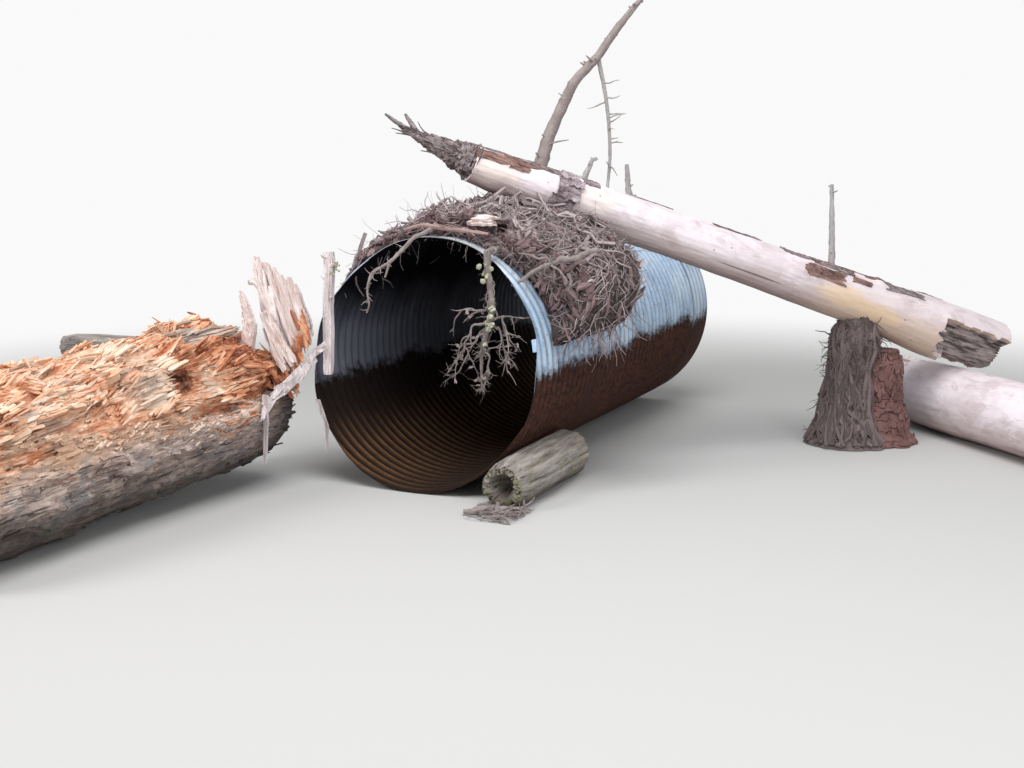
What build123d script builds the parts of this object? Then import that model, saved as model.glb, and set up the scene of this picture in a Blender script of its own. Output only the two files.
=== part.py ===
from build123d import *
from math import cos, pi, radians, sin, sqrt, tan
import os

# Round corrugated culvert end with its bank held by laid and fallen logs and packed brush.
# Working frame, in millimetres: X to the right, Y along the pipe into the fill, Z up from the bed.
# The pipe's axis is at X 0 and its mouth at Y 0. At the end all pieces move together, so that the
# origin is the bottom centre of the whole.

# Corrugated pipe
BORE = 1200
PITCH = 68
CORRUGATION_DEPTH = 13
PIPE_WALL = 2.8
CORRUGATIONS = 3
RIM_LEAN = 10
BURIED_LENGTH = 2436
BAND_WIDTH = 300
BAND_WALL = 2.5
BAND_GAP = 40
BAND_SLACK = 1
ANGLE_LEG = 50
ANGLE_WALL = 5
TAB_LENGTH = 60
TAB_DEPTH = 14

# Left wing log, rotten on top
LEFT_RADIUS = 350
LEFT_LENGTH = 2230
LEFT_FAR_HEIGHT = 425
LEFT_NEAR_HEIGHT = 300
LEFT_FLARE = 156
LOG_GAP = 12
ROT_RADIUS = 310
ROT_RISE = 105
STRATUM = 62
GROOVE = 48
SPLINTER_THICKNESS = 55
STAKE_RADIUS = 27
REAR_LOG_RADIUS = 62
REAR_LOG_LENGTH = 760

# Right wing log
RIGHT_RADIUS = 203
RIGHT_LENGTH = 2000
RIGHT_FLARE = 42
RIGHT_END_X = 1900
RIGHT_END_Y = 2760

# Header log laid over the crown
HEADER_BUTT_RADIUS = 170
HEADER_TIP_RADIUS = 92
HEADER_TIP_LIFT = 360
HEADER_CROSSING = 480
HEADER_OVERHANG = 290
BUTT_SPLIT = 550
BARK = 14
LIMB_RADIUS = 31
TALL_STUB_LENGTH = 430

# Toe log
TOE_RADIUS = 118
TOE_LENGTH = 820

# Brush
BRUSH_DEPTH = 900
BRUSH_SETBACK = 25
SHOULDER_SETBACK = 120
SHOULDER_SLANT = 0.55

# Root clump and rotten block
CLUMP_RADIUS = 125
BLOCK_RADIUS = 105

os.makedirs("parts", exist_ok=True)
pieces = {}

bore_radius = BORE / 2
crest_radius = bore_radius + CORRUGATION_DEPTH + PIPE_WALL
pipe_height = crest_radius
mid_radius = bore_radius + CORRUGATION_DEPTH / 2
buried_outer = mid_radius + PIPE_WALL
end_length = (CORRUGATIONS + 0.25) * PITCH
pipe_end = end_length + BURIED_LENGTH
lean = tan(radians(RIM_LEAN))


def around_pipe(angle, radius, distance):
    # A point round the pipe's axis, level with the leaning mouth plane plus a distance into the fill.
    rise = radius * sin(radians(angle))
    return Vector(radius * cos(radians(angle)), distance + rise * lean, pipe_height + rise)


def skin(sections):
    # A closed solid of flat facets through outlines that have the same number of points.
    faces = []
    for near, far in zip(sections, sections[1:]):
        for i, corner in enumerate(near):
            j = (i + 1) % len(near)
            faces.append(Face(Wire.make_polygon([corner, near[j], far[j]])))
            faces.append(Face(Wire.make_polygon([corner, far[j], far[i]])))
    faces.append(Face(Wire.make_polygon(sections[0])))
    faces.append(Face(Wire.make_polygon(sections[-1])))
    solid = Solid(Shell(faces))
    return solid


def along_plane(start, toward):
    # Local z runs along the piece, local y is its upper side and local x its right-hand side.
    along = (toward - start).normalized()
    return Plane(origin=start, x_dir=Vector(0, 0, 1).cross(along), z_dir=along)


def ring(plane, distance, radius, sideways=0, up=0, crown=1, sides=16, lump=0.0):
    # One outline across a log. Crown stretches its upper half, and lump makes it uneven.
    centre = plane.origin + plane.z_dir * distance + plane.x_dir * sideways + plane.y_dir * up
    outline = []
    for k in range(sides):
        angle = 2 * pi * k / sides
        wave = 0.6 * sin(2 * angle + distance / 410) + 0.4 * sin(5 * angle - distance / 170)
        reach = radius * (1 + lump * wave)
        height = reach * sin(angle) * (crown if sin(angle) > 0 else 1)
        outline.append(centre + plane.x_dir * (reach * cos(angle)) + plane.y_dir * height)
    return outline


def log(plane, stations, **shape):
    # A log through (distance, radius, sideways, up) stations.
    return skin([ring(plane, *station, **shape) for station in stations])


def surface(plane, stations, distance, degrees):
    # A point on the outside of a log through stations, and the way out from there.
    stations = [(tuple(station) + (0, 0, 1)[len(station) - 2 :]) for station in stations]
    for near, far in zip(stations, stations[1:]):
        if distance <= far[0]:
            break
    share = (distance - near[0]) / (far[0] - near[0])
    radius, sideways, up, crown = [a + (b - a) * share for a, b in zip(near[1:], far[1:])]
    angle = radians(degrees)
    stretch = crown if sin(angle) > 0 else 1
    way_out = plane.x_dir * cos(angle) + plane.y_dir * (sin(angle) * stretch)
    centre = plane.origin + plane.z_dir * distance + plane.x_dir * sideways + plane.y_dir * up
    return centre + way_out * radius, way_out.normalized()


def plate(plane, stations, start, length, degrees, width, twist, low, high):
    # A long plate along a log, from low to high over its surface and pointed at both ends. Twist is
    # how far it turns round the log, in degrees.
    sections = []
    for share, spread, swell in ((0, 0.25, 0.3), (0.12, 0.8, 1), (0.55, 1, 0.85), (0.86, 0.7, 0.9), (1, 0.2, 0.2)):
        centre, way_out = surface(plane, stations, start + length * share, degrees + twist * (share - 0.5))
        half = way_out.cross(plane.z_dir) * (width * spread / 2)
        foot = centre + way_out * (low * swell)
        head = centre + way_out * (high * swell)
        ridge = head + half * 0.2
        shoulder = head * 0.65 + foot * 0.35
        sections.append([foot - half, foot + half, shoulder + half, ridge, shoulder - half])
    return skin(sections)


def stick(points, radii, sides=6):
    # A bent, tapering stick with flats, as split and weathered wood has.
    track = [Vector(*point) for point in points]
    span = track[-1] - track[0]
    reference = span.cross(Vector(0.31, 0.87, 0.38))
    sections = []
    for i, point in enumerate(track):
        tangent = track[min(i + 1, len(track) - 1)] - track[max(i - 1, 0)]
        across = reference.cross(tangent).normalized()
        upward = tangent.cross(across).normalized()
        outline = []
        for k in range(sides):
            angle = 2 * pi * k / sides
            outline.append(point + across * (radii[i] * cos(angle)) + upward * (radii[i] * sin(angle)))
        sections.append(outline)
    return skin(sections)


def slab(outline, front, thickness):
    # A flat split slab standing across the pipe: its outline is in X and Z.
    face = make_face(Polyline([(x, front, z) for x, z in outline], close=True))
    return extrude(face, thickness, dir=(0, 1, 0))


def broken_end(plane, distance, radius, teeth, depth, outward):
    # What a broken end lacks: a saw-toothed block across the log's end.
    step = radius / teeth
    edge = []
    for i in range(2 * teeth + 1):
        tooth = depth * (0.45 + 0.55 * ((i * 3) % 5) / 4) if i % 2 else 0
        edge.append((-radius + i * step, distance - outward * tooth))
    beyond = distance + outward * 2 * depth
    block = [(-radius * 1.2, beyond), (-radius * 1.2, distance)] + edge
    block += [(radius * 1.2, distance), (radius * 1.2, beyond)]
    face = make_face(Polyline([(x, -radius * 1.5, z) for x, z in block], close=True))
    return plane.location * extrude(face, radius * 3, dir=(0, 1, 0))


def above_bed(solid):
    # Wood that lies in the bed is flat where it lies.
    box = solid.bounding_box()
    centre = box.center()
    under = Pos(centre.X, centre.Y, -box.size.Z / 2) * Box(2 * box.size.X, 2 * box.size.Y, box.size.Z)
    return solid - under


def largest(shape):
    return max(shape.solids(), key=lambda s: s.volume)


def tube(inner, outer, start, stop):
    # A plain ring round the pipe's axis.
    length = stop - start
    wall = Cylinder(outer, length) - Cylinder(inner, length) if inner else Cylinder(outer, length)
    return Pos(0, (start + stop) / 2, pipe_height) * Rot(90, 0, 0) * wall


# Pipe: the end length keeps its corrugations, cut back in a leaning plane at the mouth
pipe_axis = Axis((0, 0, pipe_height), (0, 1, 0))
front_pitches = int(crest_radius * lean / PITCH) + 1
inner_line = []
for half in range(-2 * front_pitches, 2 * CORRUGATIONS + 1):
    inner_line.append((half * PITCH / 2, bore_radius + (CORRUGATION_DEPTH if half % 2 else 0)))
inner_line.append((end_length, mid_radius))
outer_line = [(y, radius + PIPE_WALL) for y, radius in reversed(inner_line)]
wall_section = make_face(Polyline([(0, y, pipe_height + r) for y, r in inner_line + outer_line], close=True))
mouth_normal = (0, -cos(radians(RIM_LEAN)), sin(radians(RIM_LEAN)))
mouth_plane = Plane((0, 0, pipe_height), x_dir=(1, 0, 0), z_dir=mouth_normal)
before_mouth = mouth_plane.location * Pos(0, 0, BORE / 2) * Box(2 * BORE, 2 * BORE, BORE)
pipe_end_length = revolve(wall_section, pipe_axis) - before_mouth
pieces["pipe_end_length"] = pipe_end_length
pieces["pipe_buried_length"] = tube(mid_radius, buried_outer, end_length, pipe_end)

# Lock seam tab that sticks in at the right of the rim
tab_angle = 12
tab_reach = TAB_DEPTH + CORRUGATION_DEPTH
tab = Pos(bore_radius + CORRUGATION_DEPTH - tab_reach / 2, PITCH / 2, 0) * Box(tab_reach, PITCH / 2, TAB_LENGTH)
tab = Pos(0, 0, pipe_height) * Rot(0, -tab_angle, 0) * tab
pieces["pipe_seam_tab"] = largest(tab - pipe_end_length - before_mouth)

# Coupling band: tight on this length, a little slack on its free half for the next length of pipe
band_outer = buried_outer + BAND_SLACK + BAND_WALL
band_start = pipe_end - BAND_WIDTH / 2
band_stop = pipe_end + BAND_WIDTH / 2
band_top = pipe_height + band_outer
band_gap = Pos(0, pipe_end, band_top) * Box(BAND_GAP, 2 * BAND_WIDTH, 4 * ANGLE_LEG)
band = tube(buried_outer, band_outer, band_start, pipe_end)
band += tube(buried_outer + BAND_SLACK, band_outer, pipe_end, band_stop)
pieces["coupling_band"] = band - band_gap
for name, side in (("band_angle_left", -1), ("band_angle_right", 1)):
    upright = Pos(side * (BAND_GAP + ANGLE_WALL) / 2, pipe_end, band_top + ANGLE_LEG / 2 - ANGLE_WALL)
    foot = Pos(side * (BAND_GAP + ANGLE_LEG) / 2, pipe_end, band_top)
    angle = upright * Box(ANGLE_WALL, BAND_WIDTH, ANGLE_LEG) + foot * Box(ANGLE_LEG, BAND_WIDTH, ANGLE_WALL)
    pieces[name] = largest(angle - tube(0, band_outer, band_start - 1, band_stop + 1))

# Left wing log: sound wood below, broken at both ends, its top rotted out
left_x = -(crest_radius + LOG_GAP + LEFT_RADIUS)
near_side = left_x + LEFT_RADIUS
left_far = Vector(left_x, -60, LEFT_FAR_HEIGHT)
left_near = Vector(left_x - LEFT_FLARE, -60 - LEFT_LENGTH, LEFT_NEAR_HEIGHT)
left_plane = along_plane(left_far, left_near)
left_stations = [
    (0, LEFT_RADIUS - 50),
    (90, LEFT_RADIUS - 10),
    (LEFT_LENGTH * 0.2, LEFT_RADIUS),
    (LEFT_LENGTH * 0.38, LEFT_RADIUS - 6, 8),
    (LEFT_LENGTH * 0.55, LEFT_RADIUS - 18, 10),
    (LEFT_LENGTH * 0.7, LEFT_RADIUS - 6, 6),
    (LEFT_LENGTH * 0.86, LEFT_RADIUS),
    (LEFT_LENGTH, LEFT_RADIUS - 25),
]
rot_stations = [
    (-30, ROT_RADIUS - 90, 0, ROT_RISE, 0.9),
    (110, ROT_RADIUS - 40, 0, ROT_RISE, 1.12),
    (LEFT_LENGTH * 0.14, ROT_RADIUS, 10, ROT_RISE, 1.13),
    (LEFT_LENGTH * 0.26, ROT_RADIUS - 14, 6, ROT_RISE, 1.0),
    (LEFT_LENGTH * 0.4, ROT_RADIUS - 4, 12, ROT_RISE, 0.93),
    (LEFT_LENGTH * 0.54, ROT_RADIUS - 16, 4, ROT_RISE, 0.86),
    (LEFT_LENGTH * 0.68, ROT_RADIUS - 6, 10, ROT_RISE, 0.9),
    (LEFT_LENGTH * 0.84, ROT_RADIUS - 12, 4, ROT_RISE, 0.78),
    (LEFT_LENGTH + 60, ROT_RADIUS - 60, 0, ROT_RISE, 0.7),
]
# Layers of heartwood that stand up along the top: start, length, angle, width and twist
strata = [
    (110, 480, 66, 150, -9),
    (150, 520, 106, 140, 6),
    (480, 620, 84, 170, 8),
    (560, 560, 50, 130, -8),
    (880, 640, 112, 150, -6),
    (1000, 680, 68, 170, 10),
    (1250, 560, 42, 120, -6),
    (1430, 620, 94, 160, 7),
    (1620, 540, 60, 150, -9),
    (1700, 480, 124, 130, 6),
    (260, 900, 142, 140, 5),
    (1250, 800, 152, 140, -5),
]
# Places on the flanks where a plate of sapwood has split away
grooves = [
    (290, 560, 12, 130, 6),
    (620, 640, -22, 140, -6),
    (1160, 700, -8, 150, 6),
    (1560, 560, 22, 110, -5),
    (1650, 520, -36, 140, 4),
    (330, 700, 170, 150, 5),
    (1100, 800, 186, 160, -5),
    (600, 700, 214, 140, 4),
]
left_round = log(left_plane, left_stations, sides=18, lump=0.022)
rot = skin([ring(left_plane, *station, sides=18, lump=0.03) for station in rot_stations])
for start, length, degrees, width, twist in strata:
    rot += plate(left_plane, rot_stations, start, length, degrees, width, twist, -STRATUM, STRATUM)
for start, length, degrees, width, twist in grooves:
    left_round -= plate(left_plane, left_stations, start, length, degrees, width, twist, -GROOVE, GROOVE)
breaks = broken_end(left_plane, 0, LEFT_RADIUS, 5, 70, -1)
breaks += broken_end(left_plane, LEFT_LENGTH, LEFT_RADIUS, 6, 60, 1)
pieces["left_wing_log"] = largest(above_bed(left_round - rot - breaks))
rot_length = left_plane.location * Pos(0, 0, LEFT_LENGTH / 2) * Box(BORE, BORE, LEFT_LENGTH - 90)
pieces["left_heartwood"] = largest((rot & rot_length) - breaks)
left_log = left_round + rot

# Splinters that stand on the far end of the left log: outlines from its near side and its axis height
splinters = {
    "large_splinter": [(-257, 715), (-202, 700), (-17, 590), (108, 345), (28, 175), (-132, 135), (-167, 425)],
    "narrow_splinter": [(-197, 465), (-142, 445), (28, 195), (-22, 115), (-92, 155)],
    "forked_splinter": [(-262, 545), (-217, 515), (-162, 375), (-202, 195), (-272, 135), (-227, 365)],
}
for index, (name, outline) in enumerate(splinters.items()):
    front = -150 - index * (SPLINTER_THICKNESS + 1)
    placed = [(near_side + x, LEFT_FAR_HEIGHT + z) for x, z in outline]
    pieces[name] = largest(slab(placed, front, SPLINTER_THICKNESS) - left_log)

# Stake that leans on the rim, and the torn rim of the shell that holds its foot
rim_left = -bore_radius * 0.9
rim_high = pipe_height + sqrt(bore_radius**2 - rim_left**2)
rim_back = (rim_high - pipe_height) * lean + 12 - STAKE_RADIUS
stake_points = [
    (rim_left - 8, rim_back + 30, rim_high + 270),
    (rim_left, rim_back, rim_high),
    (rim_left + 22, rim_back - 36, rim_high - 170),
    (rim_left + 38, rim_back - 73, rim_high - 345),
]
stake_radii = [STAKE_RADIUS, STAKE_RADIUS * 0.8, STAKE_RADIUS, STAKE_RADIUS * 0.9]
stake = largest(stick(stake_points, stake_radii, 7) - pipe_end_length)
pieces["leaning_stake"] = stake
shell_rim_points = [
    (rim_left + 16, rim_back - 40, rim_high - 150),
    (near_side + 4, -160, LEFT_FAR_HEIGHT + 145),
    (near_side - 12, -270, LEFT_FAR_HEIGHT + 75),
    (near_side - 18, -380, LEFT_FAR_HEIGHT + 20),
    (near_side - 18, -450, LEFT_FAR_HEIGHT - 50),
]
shell_rim = stick(shell_rim_points, [14, 24, 34, 34, 16], 5) - left_log - stake - pipe_end_length
for name in splinters:
    shell_rim = shell_rim - pieces[name]
pieces["left_shell_rim"] = largest(shell_rim)

# Two hanging strips, one on the log's near side and one against the rim
strip_points = [
    (near_side - 8, -400, LEFT_FAR_HEIGHT + 95),
    (near_side - 2, -410, LEFT_FAR_HEIGHT - 95),
    (near_side - 14, -420, LEFT_FAR_HEIGHT - 295),
]
strip = stick(strip_points, [16, 22, 12], 5) - left_log - pieces["left_shell_rim"]
pieces["hanging_strip_left"] = largest(strip)
strip_top = around_pipe(200, mid_radius, -12)
strip_middle = around_pipe(213, mid_radius, -12)
strip_foot = strip_middle + Vector(9, -16, -150)
strip = stick([strip_top, strip_middle, strip_foot], [14, 18, 12], 5) - pipe_end_length
pieces["hanging_strip_right"] = largest(strip)

# Log behind the left one, on its own knobby stub
rear_height = LEFT_FAR_HEIGHT + 185
rear_right = Vector(left_x - 150, -120, rear_height)
rear_left = Vector(left_x - 250 - REAR_LOG_LENGTH, -270, rear_height + 20)
rear_plane = along_plane(rear_left, rear_right)
rear_stations = [
    (0, REAR_LOG_RADIUS * 0.8),
    (90, REAR_LOG_RADIUS, 0, 6),
    (REAR_LOG_LENGTH * 0.5, REAR_LOG_RADIUS * 0.94, 0, 10),
    (REAR_LOG_LENGTH + 100, REAR_LOG_RADIUS * 0.9),
]
rear_log = log(rear_plane, rear_stations, sides=10, lump=0.05)
stub_points = [
    rear_left + Vector(60, 0, 0),
    (rear_left.X + 30, rear_left.Y, rear_height * 0.5),
    (rear_left.X + 10, rear_left.Y - 20, 0),
]
rear_log += stick(stub_points, [45, 38, 42], 7)
pieces["rear_left_log"] = largest(above_bed(rear_log) - left_log)

# Right wing log, flat in the bed
right_lay = Vector(sin(radians(RIGHT_FLARE)), -cos(radians(RIGHT_FLARE)), 0)
right_back = Vector(RIGHT_END_X, RIGHT_END_Y, RIGHT_RADIUS - 4)
right_plane = along_plane(right_back, right_back + right_lay)
right_stations = [
    (0, RIGHT_RADIUS - 40),
    (150, RIGHT_RADIUS - 6),
    (HEADER_CROSSING, RIGHT_RADIUS),
    (RIGHT_LENGTH * 0.5, RIGHT_RADIUS - 4, 6),
    (RIGHT_LENGTH * 0.75, RIGHT_RADIUS - 12, 4, -4),
    (RIGHT_LENGTH, RIGHT_RADIUS - 16, 0, -6),
]
right_log = log(right_plane, right_stations, sides=18, lump=0.018)
right_log = right_log - broken_end(right_plane, 0, RIGHT_RADIUS, 4, 120, -1)
pieces["right_wing_log"] = largest(above_bed(right_log))

# Header log from over the crown down to the right wing log. Its butt is hollow, and split open on
# the stream side
header_tip = around_pipe(87.6, crest_radius + HEADER_TIP_LIFT, 280)
crossing = right_back + right_lay * HEADER_CROSSING + Vector(0, 0, RIGHT_RADIUS + HEADER_BUTT_RADIUS)
header_plane = along_plane(header_tip, crossing)
header_span = (crossing - header_tip).length + HEADER_OVERHANG
header_stations = [
    (0, HEADER_TIP_RADIUS),
    (header_span * 0.12, HEADER_TIP_RADIUS + 10, 4, 6),
    (header_span * 0.3, HEADER_TIP_RADIUS + 22, 6, 10),
    (header_span * 0.5, HEADER_TIP_RADIUS + 30, 0, 8),
    (header_span * 0.7, HEADER_TIP_RADIUS + 44, -6, 4),
    (header_span * 0.86, HEADER_BUTT_RADIUS, -4, 0),
    (header_span, HEADER_BUTT_RADIUS - 4),
]
header_round = log(header_plane, header_stations, sides=18, lump=0.02)
butt_hollow = log(
    header_plane,
    [
        (header_span - BUTT_SPLIT, HEADER_BUTT_RADIUS * 0.3),
        (header_span - BUTT_SPLIT * 0.7, HEADER_BUTT_RADIUS * 0.58),
        (header_span + 20, HEADER_BUTT_RADIUS * 0.66),
    ],
    sides=9,
)
split_start = header_span - BUTT_SPLIT
split_side = HEADER_BUTT_RADIUS * 1.2
split_outline = [
    (-split_side, split_start + 30),
    (-split_side / 2, split_start),
    (-split_side * 0.3, split_start + 60),
    (-25, split_start + 110),
    (-25, header_span + 60),
    (-split_side, header_span + 60),
]
split_face = make_face(Polyline([(x, -split_side, z) for x, z in split_outline], close=True))
butt_split = header_plane.location * extrude(split_face, split_side + 60, dir=(0, 1, 0))
butt_break = broken_end(header_plane, header_span, HEADER_BUTT_RADIUS, 4, 70, 1)
pieces["header_log"] = largest(header_round - butt_break - butt_hollow - butt_split - right_log)


def by_header(distance, sideways, up):
    # A point from the header's axis: distance from its tip, sideways toward the stream, and up.
    plane = header_plane
    return plane.origin + plane.z_dir * distance - plane.x_dir * sideways + plane.y_dir * up


# Splintered tip that still has its bark
tip_points = [by_header(0, 0, 0), by_header(-150, 0, 6), by_header(-330, 0, 30), by_header(-480, 0, 75)]
tip = stick(tip_points, [HEADER_TIP_RADIUS - 4, 62, 36, 16], 9)
tip += stick([by_header(-300, 0, 25), by_header(-390, 10, 110)], [26, 14], 5)
pieces["header_tip"] = largest(tip - header_round)

# Dead limb, its branch and three stubs, all footed on the header
limb_foot = header_span * 0.11
limb_points = [by_header(limb_foot, 0, 40)]
limb_bends = [(-9, -8, 244), (6, 9, 440), (21, 30, 561), (83, 60, 710), (132, 86, 886), (201, 121, 1080)]
for along, sideways, rise in limb_bends:
    limb_points.append(by_header(limb_foot + along, sideways, rise))
limb_radii = [LIMB_RADIUS + 8, LIMB_RADIUS, LIMB_RADIUS - 4, LIMB_RADIUS - 6, LIMB_RADIUS - 9, LIMB_RADIUS - 13, 12]
limb = stick(limb_points, limb_radii, 7)
pieces["leaning_limb"] = largest(limb - header_round)
branch_head = limb_points[4]
branch_foot = by_header(header_span * 0.225, 0, 60)
branch_points = [branch_head]
for share, bow in ((0.35, 26), (0.7, 22)):
    branch_points.append(branch_head * (1 - share) + branch_foot * share + Vector(bow, bow, 0))
branch_points.append(branch_foot)
pieces["limb_branch"] = largest(stick(branch_points, [12, 10, 9, 8], 5) - limb - header_round)
stubs = {
    "short_stub_left": (0.18, 12, 110),
    "short_stub_right": (0.27, -105, 140),
    "tall_stub": (0.645, -0.45 * TALL_STUB_LENGTH, TALL_STUB_LENGTH),
}
for name, (share, drift, rise) in stubs.items():
    distance = header_span * share
    waist = by_header(distance + drift * 0.4, 0, 60 + rise * 0.5)
    top = by_header(distance + drift, 10, 120 + rise)
    pieces[name] = largest(stick([by_header(distance, 0, 60), waist, top], [22, 18, 11]) - header_round)

# Brush packed over the crown and the right shoulder, in three parts so that each stays arched and open
brush_parts = {
    "crown_brush_left": (BRUSH_SETBACK, 0, [(146, 10), (128, 50), (112, 84), (97, 122), (86, 148)]),
    "crown_brush_right": (BRUSH_SETBACK, 0, [(86, 148), (76, 186), (66, 205), (56, 232), (48, 268)]),
    "shoulder_brush": (SHOULDER_SETBACK, SHOULDER_SLANT, [(48, 268), (40, 320), (31, 372), (22, 372), (13, 260), (9, 60)]),
}
pipe_core = tube(0, crest_radius, -BORE, pipe_end)
packs = None
for name, (setback, slant, outline) in brush_parts.items():
    sections = []
    inner = [(outline[-1][0], -crest_radius * 0.4), (outline[0][0], -crest_radius * 0.4)]
    for depth_share, thickness_share in ((0, 0.78), (0.3, 1.0), (0.75, 0.95), (1, 0.6)):
        points = []
        for degrees, thickness in outline + inner:
            radius = crest_radius + thickness * (thickness_share if thickness > 0 else 1)
            # With a slant the pack reaches less far back the lower it hangs
            reach = 1 - slant * (1 - sin(radians(degrees)) * radius / crest_radius)
            distance = setback + (BRUSH_DEPTH - setback) * depth_share * reach
            points.append(around_pipe(degrees, radius, distance))
        sections.append(points)
    pieces[name] = largest(skin(sections) - pipe_core - header_round)
    packs = pieces[name] if packs is None else packs + pieces[name]

# Bark that hangs off the header's stream side
flap_start = header_span * 0.135
flap_stop = header_span * 0.168
collar = log(header_plane, [(flap_start, HEADER_TIP_RADIUS + 22 + BARK), (flap_stop, HEADER_TIP_RADIUS + 26 + BARK)])
stream_side = header_plane.location * Pos(-BORE / 4, -50, header_span / 2) * Box(BORE / 2, BORE / 4, header_span)
flap = (collar & stream_side) - header_round - packs - limb
pieces["header_bark_flap"] = largest(flap)

# Roots that hang over the mouth from the brush
root_angle = 57
root_x = crest_radius * cos(radians(root_angle))
root_z = pipe_height + crest_radius * sin(radians(root_angle))
root_y = -45
stem_points = [
    (root_x + 36, root_y - 6, root_z + 30),
    (root_x + 64, root_y - 20, root_z - 125),
    (root_x + 72, root_y - 30, root_z - 235),
    (root_x + 40, root_y - 20, root_z - 335),
    (root_x + 16, root_y - 20, root_z - 435),
    (root_x + 14, root_y - 10, root_z - 615),
]
branch_list = [
    [(64, -20, -175), (-6, -30, -230), (-120, -20, -235)],
    [(70, -28, -255), (-36, -45, -335), (-110, -30, -475)],
    [(40, -20, -335), (-46, -50, -395), (-96, -40, -525)],
    [(64, -28, -285), (134, -20, -345), (164, -10, -495)],
    [(24, -20, -395), (64, -25, -445), (40, -15, -535)],
    [(64, -25, -215), (134, -25, -275), (184, -20, -345)],
]
neck = [(root_x, 165, root_z + 50), (root_x + 20, 40, root_z + 44), (root_x + 38, root_y, root_z + 16)]
roots = stick(neck, [24, 24, 22]) + stick(stem_points, [26, 24, 22, 19, 15, 8])
for branch in branch_list:
    placed = [(root_x + x, root_y + y, root_z + z) for x, y, z in branch]
    roots += stick(placed, [13, 11, 6], 5)
pieces["hanging_root_cluster"] = largest(roots - packs - pipe_end_length)

# Twig, stick and pale chunk on the crown, and the branch across the shoulder
twig_root = around_pipe(90, crest_radius + 58, 52)
twig_points = [twig_root]
for x, y, z in ((-60, -130, -60), (-150, -210, -180), (-240, -215, -240), (-262, -220, -330), (-275, -220, -430)):
    twig_points.append(twig_root + Vector(x, y, z))
twig = stick(twig_points, [16, 14, 12, 10, 8, 5], 5)
side_twig = stick([twig_points[2], twig_points[2] + Vector(-15, -20, -70)], [8, 5], 5)
pieces["crown_twig"] = largest(twig + side_twig - packs - pipe_end_length)
stick_points = [around_pipe(104, crest_radius + 46, 20), around_pipe(85, crest_radius + 40, 18), around_pipe(65, crest_radius + 84, 20)]
crown_stick = stick(stick_points, [12, 16, 10]) - packs - pipe_core - pieces["crown_twig"]
pieces["crown_stick"] = largest(crown_stick)
chunk_outline = [(190, 764), (330, 734), (320, 684), (250, 674), (180, 714)]
chunk = slab([(x, pipe_height + z - 616 + crest_radius) for x, z in chunk_outline], 135, 90)
pieces["pale_wood_chunk"] = largest(chunk - packs - header_round - pipe_core)
shoulder_points = [
    around_pipe(42.5, crest_radius - 32, 32),
    around_pipe(40, crest_radius + 118, 68),
    around_pipe(38, crest_radius + 214, 92),
    around_pipe(34.6, crest_radius + 392, 102),
]
pieces["shoulder_branch"] = largest(stick(shoulder_points, [12, 18, 20, 12]) - packs - pipe_core)

# Root clump and rotten block between the header and the bed, both spread out at the foot
def upright(x, y):
    return Plane(origin=(x, y, 0), x_dir=(1, 0, 0), z_dir=(0, 0, 1))


clump_place = upright(RIGHT_END_X - 190, RIGHT_END_Y - 830)
clump_height = RIGHT_RADIUS + 560
clump_stations = [
    (0, CLUMP_RADIUS + 125),
    (70, CLUMP_RADIUS + 62, -6),
    (210, CLUMP_RADIUS + 22, -14),
    (400, CLUMP_RADIUS, -6, 8),
    (590, CLUMP_RADIUS + 8, 8, 12),
    (clump_height, CLUMP_RADIUS - 40, 30, 10),
]
clump = log(clump_place, clump_stations, sides=18, lump=0.14)
pieces["root_clump"] = largest(clump - header_round - right_log)
block_place = upright(RIGHT_END_X - 20, RIGHT_END_Y - 735)
block_stations = [
    (0, BLOCK_RADIUS + 100),
    (80, BLOCK_RADIUS + 45),
    (250, BLOCK_RADIUS + 12, -8),
    (430, BLOCK_RADIUS + 4, -4),
    (RIGHT_RADIUS + 330, BLOCK_RADIUS - 30),
]
block = log(block_place, block_stations, sides=14, lump=0.13)
pieces["rotten_block"] = largest(block - header_round - right_log - clump)

# Toe log in the pipe's right haunch, hollow at its end, with sticks at its foot
toe_height = TOE_RADIUS - 5
toe_x = sqrt((crest_radius + TOE_RADIUS) ** 2 - (pipe_height - toe_height) ** 2)
toe_front = Vector(toe_x, -260, toe_height)
toe_plane = along_plane(toe_front, toe_front + Vector(0, TOE_LENGTH, 0))
toe_stations = [
    (0, TOE_RADIUS - 20),
    (110, TOE_RADIUS - 2),
    (TOE_LENGTH * 0.5, TOE_RADIUS + 3, -2),
    (TOE_LENGTH, TOE_RADIUS + 2),
]
toe_round = log(toe_plane, toe_stations, sides=16, lump=0.02)
toe_hollow = log(toe_plane, [(-20, TOE_RADIUS * 0.62), (150, TOE_RADIUS * 0.35)], sides=9)
toe_break = broken_end(toe_plane, 0, TOE_RADIUS, 4, 50, -1)
pieces["toe_log"] = largest(above_bed(toe_round - toe_hollow - toe_break) - pipe_core)
toe_sticks = stick([(toe_x - 135, -370, 14), (toe_x - 5, -300, 24), (toe_x + 105, -270, 30)], [12, 15, 10], 5)
toe_sticks += stick([(toe_x + 45, -430, 12), (toe_x + 15, -330, 24), (toe_x - 35, -200, 40)], [11, 13, 9], 5)
pieces["toe_sticks"] = largest(above_bed(toe_sticks) - toe_round - pipe_core)

everything = Compound(children=[Compound(children=piece.solids()) for piece in pieces.values()])
box = everything.bounding_box()
shift = Pos(-box.center().X, -box.center().Y, -box.min.Z)
for name, piece in pieces.items():
    export_step(shift * piece, f"parts/{name}.step")
print("pieces", len(pieces), "size", box.size, "shift", shift.position)
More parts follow.
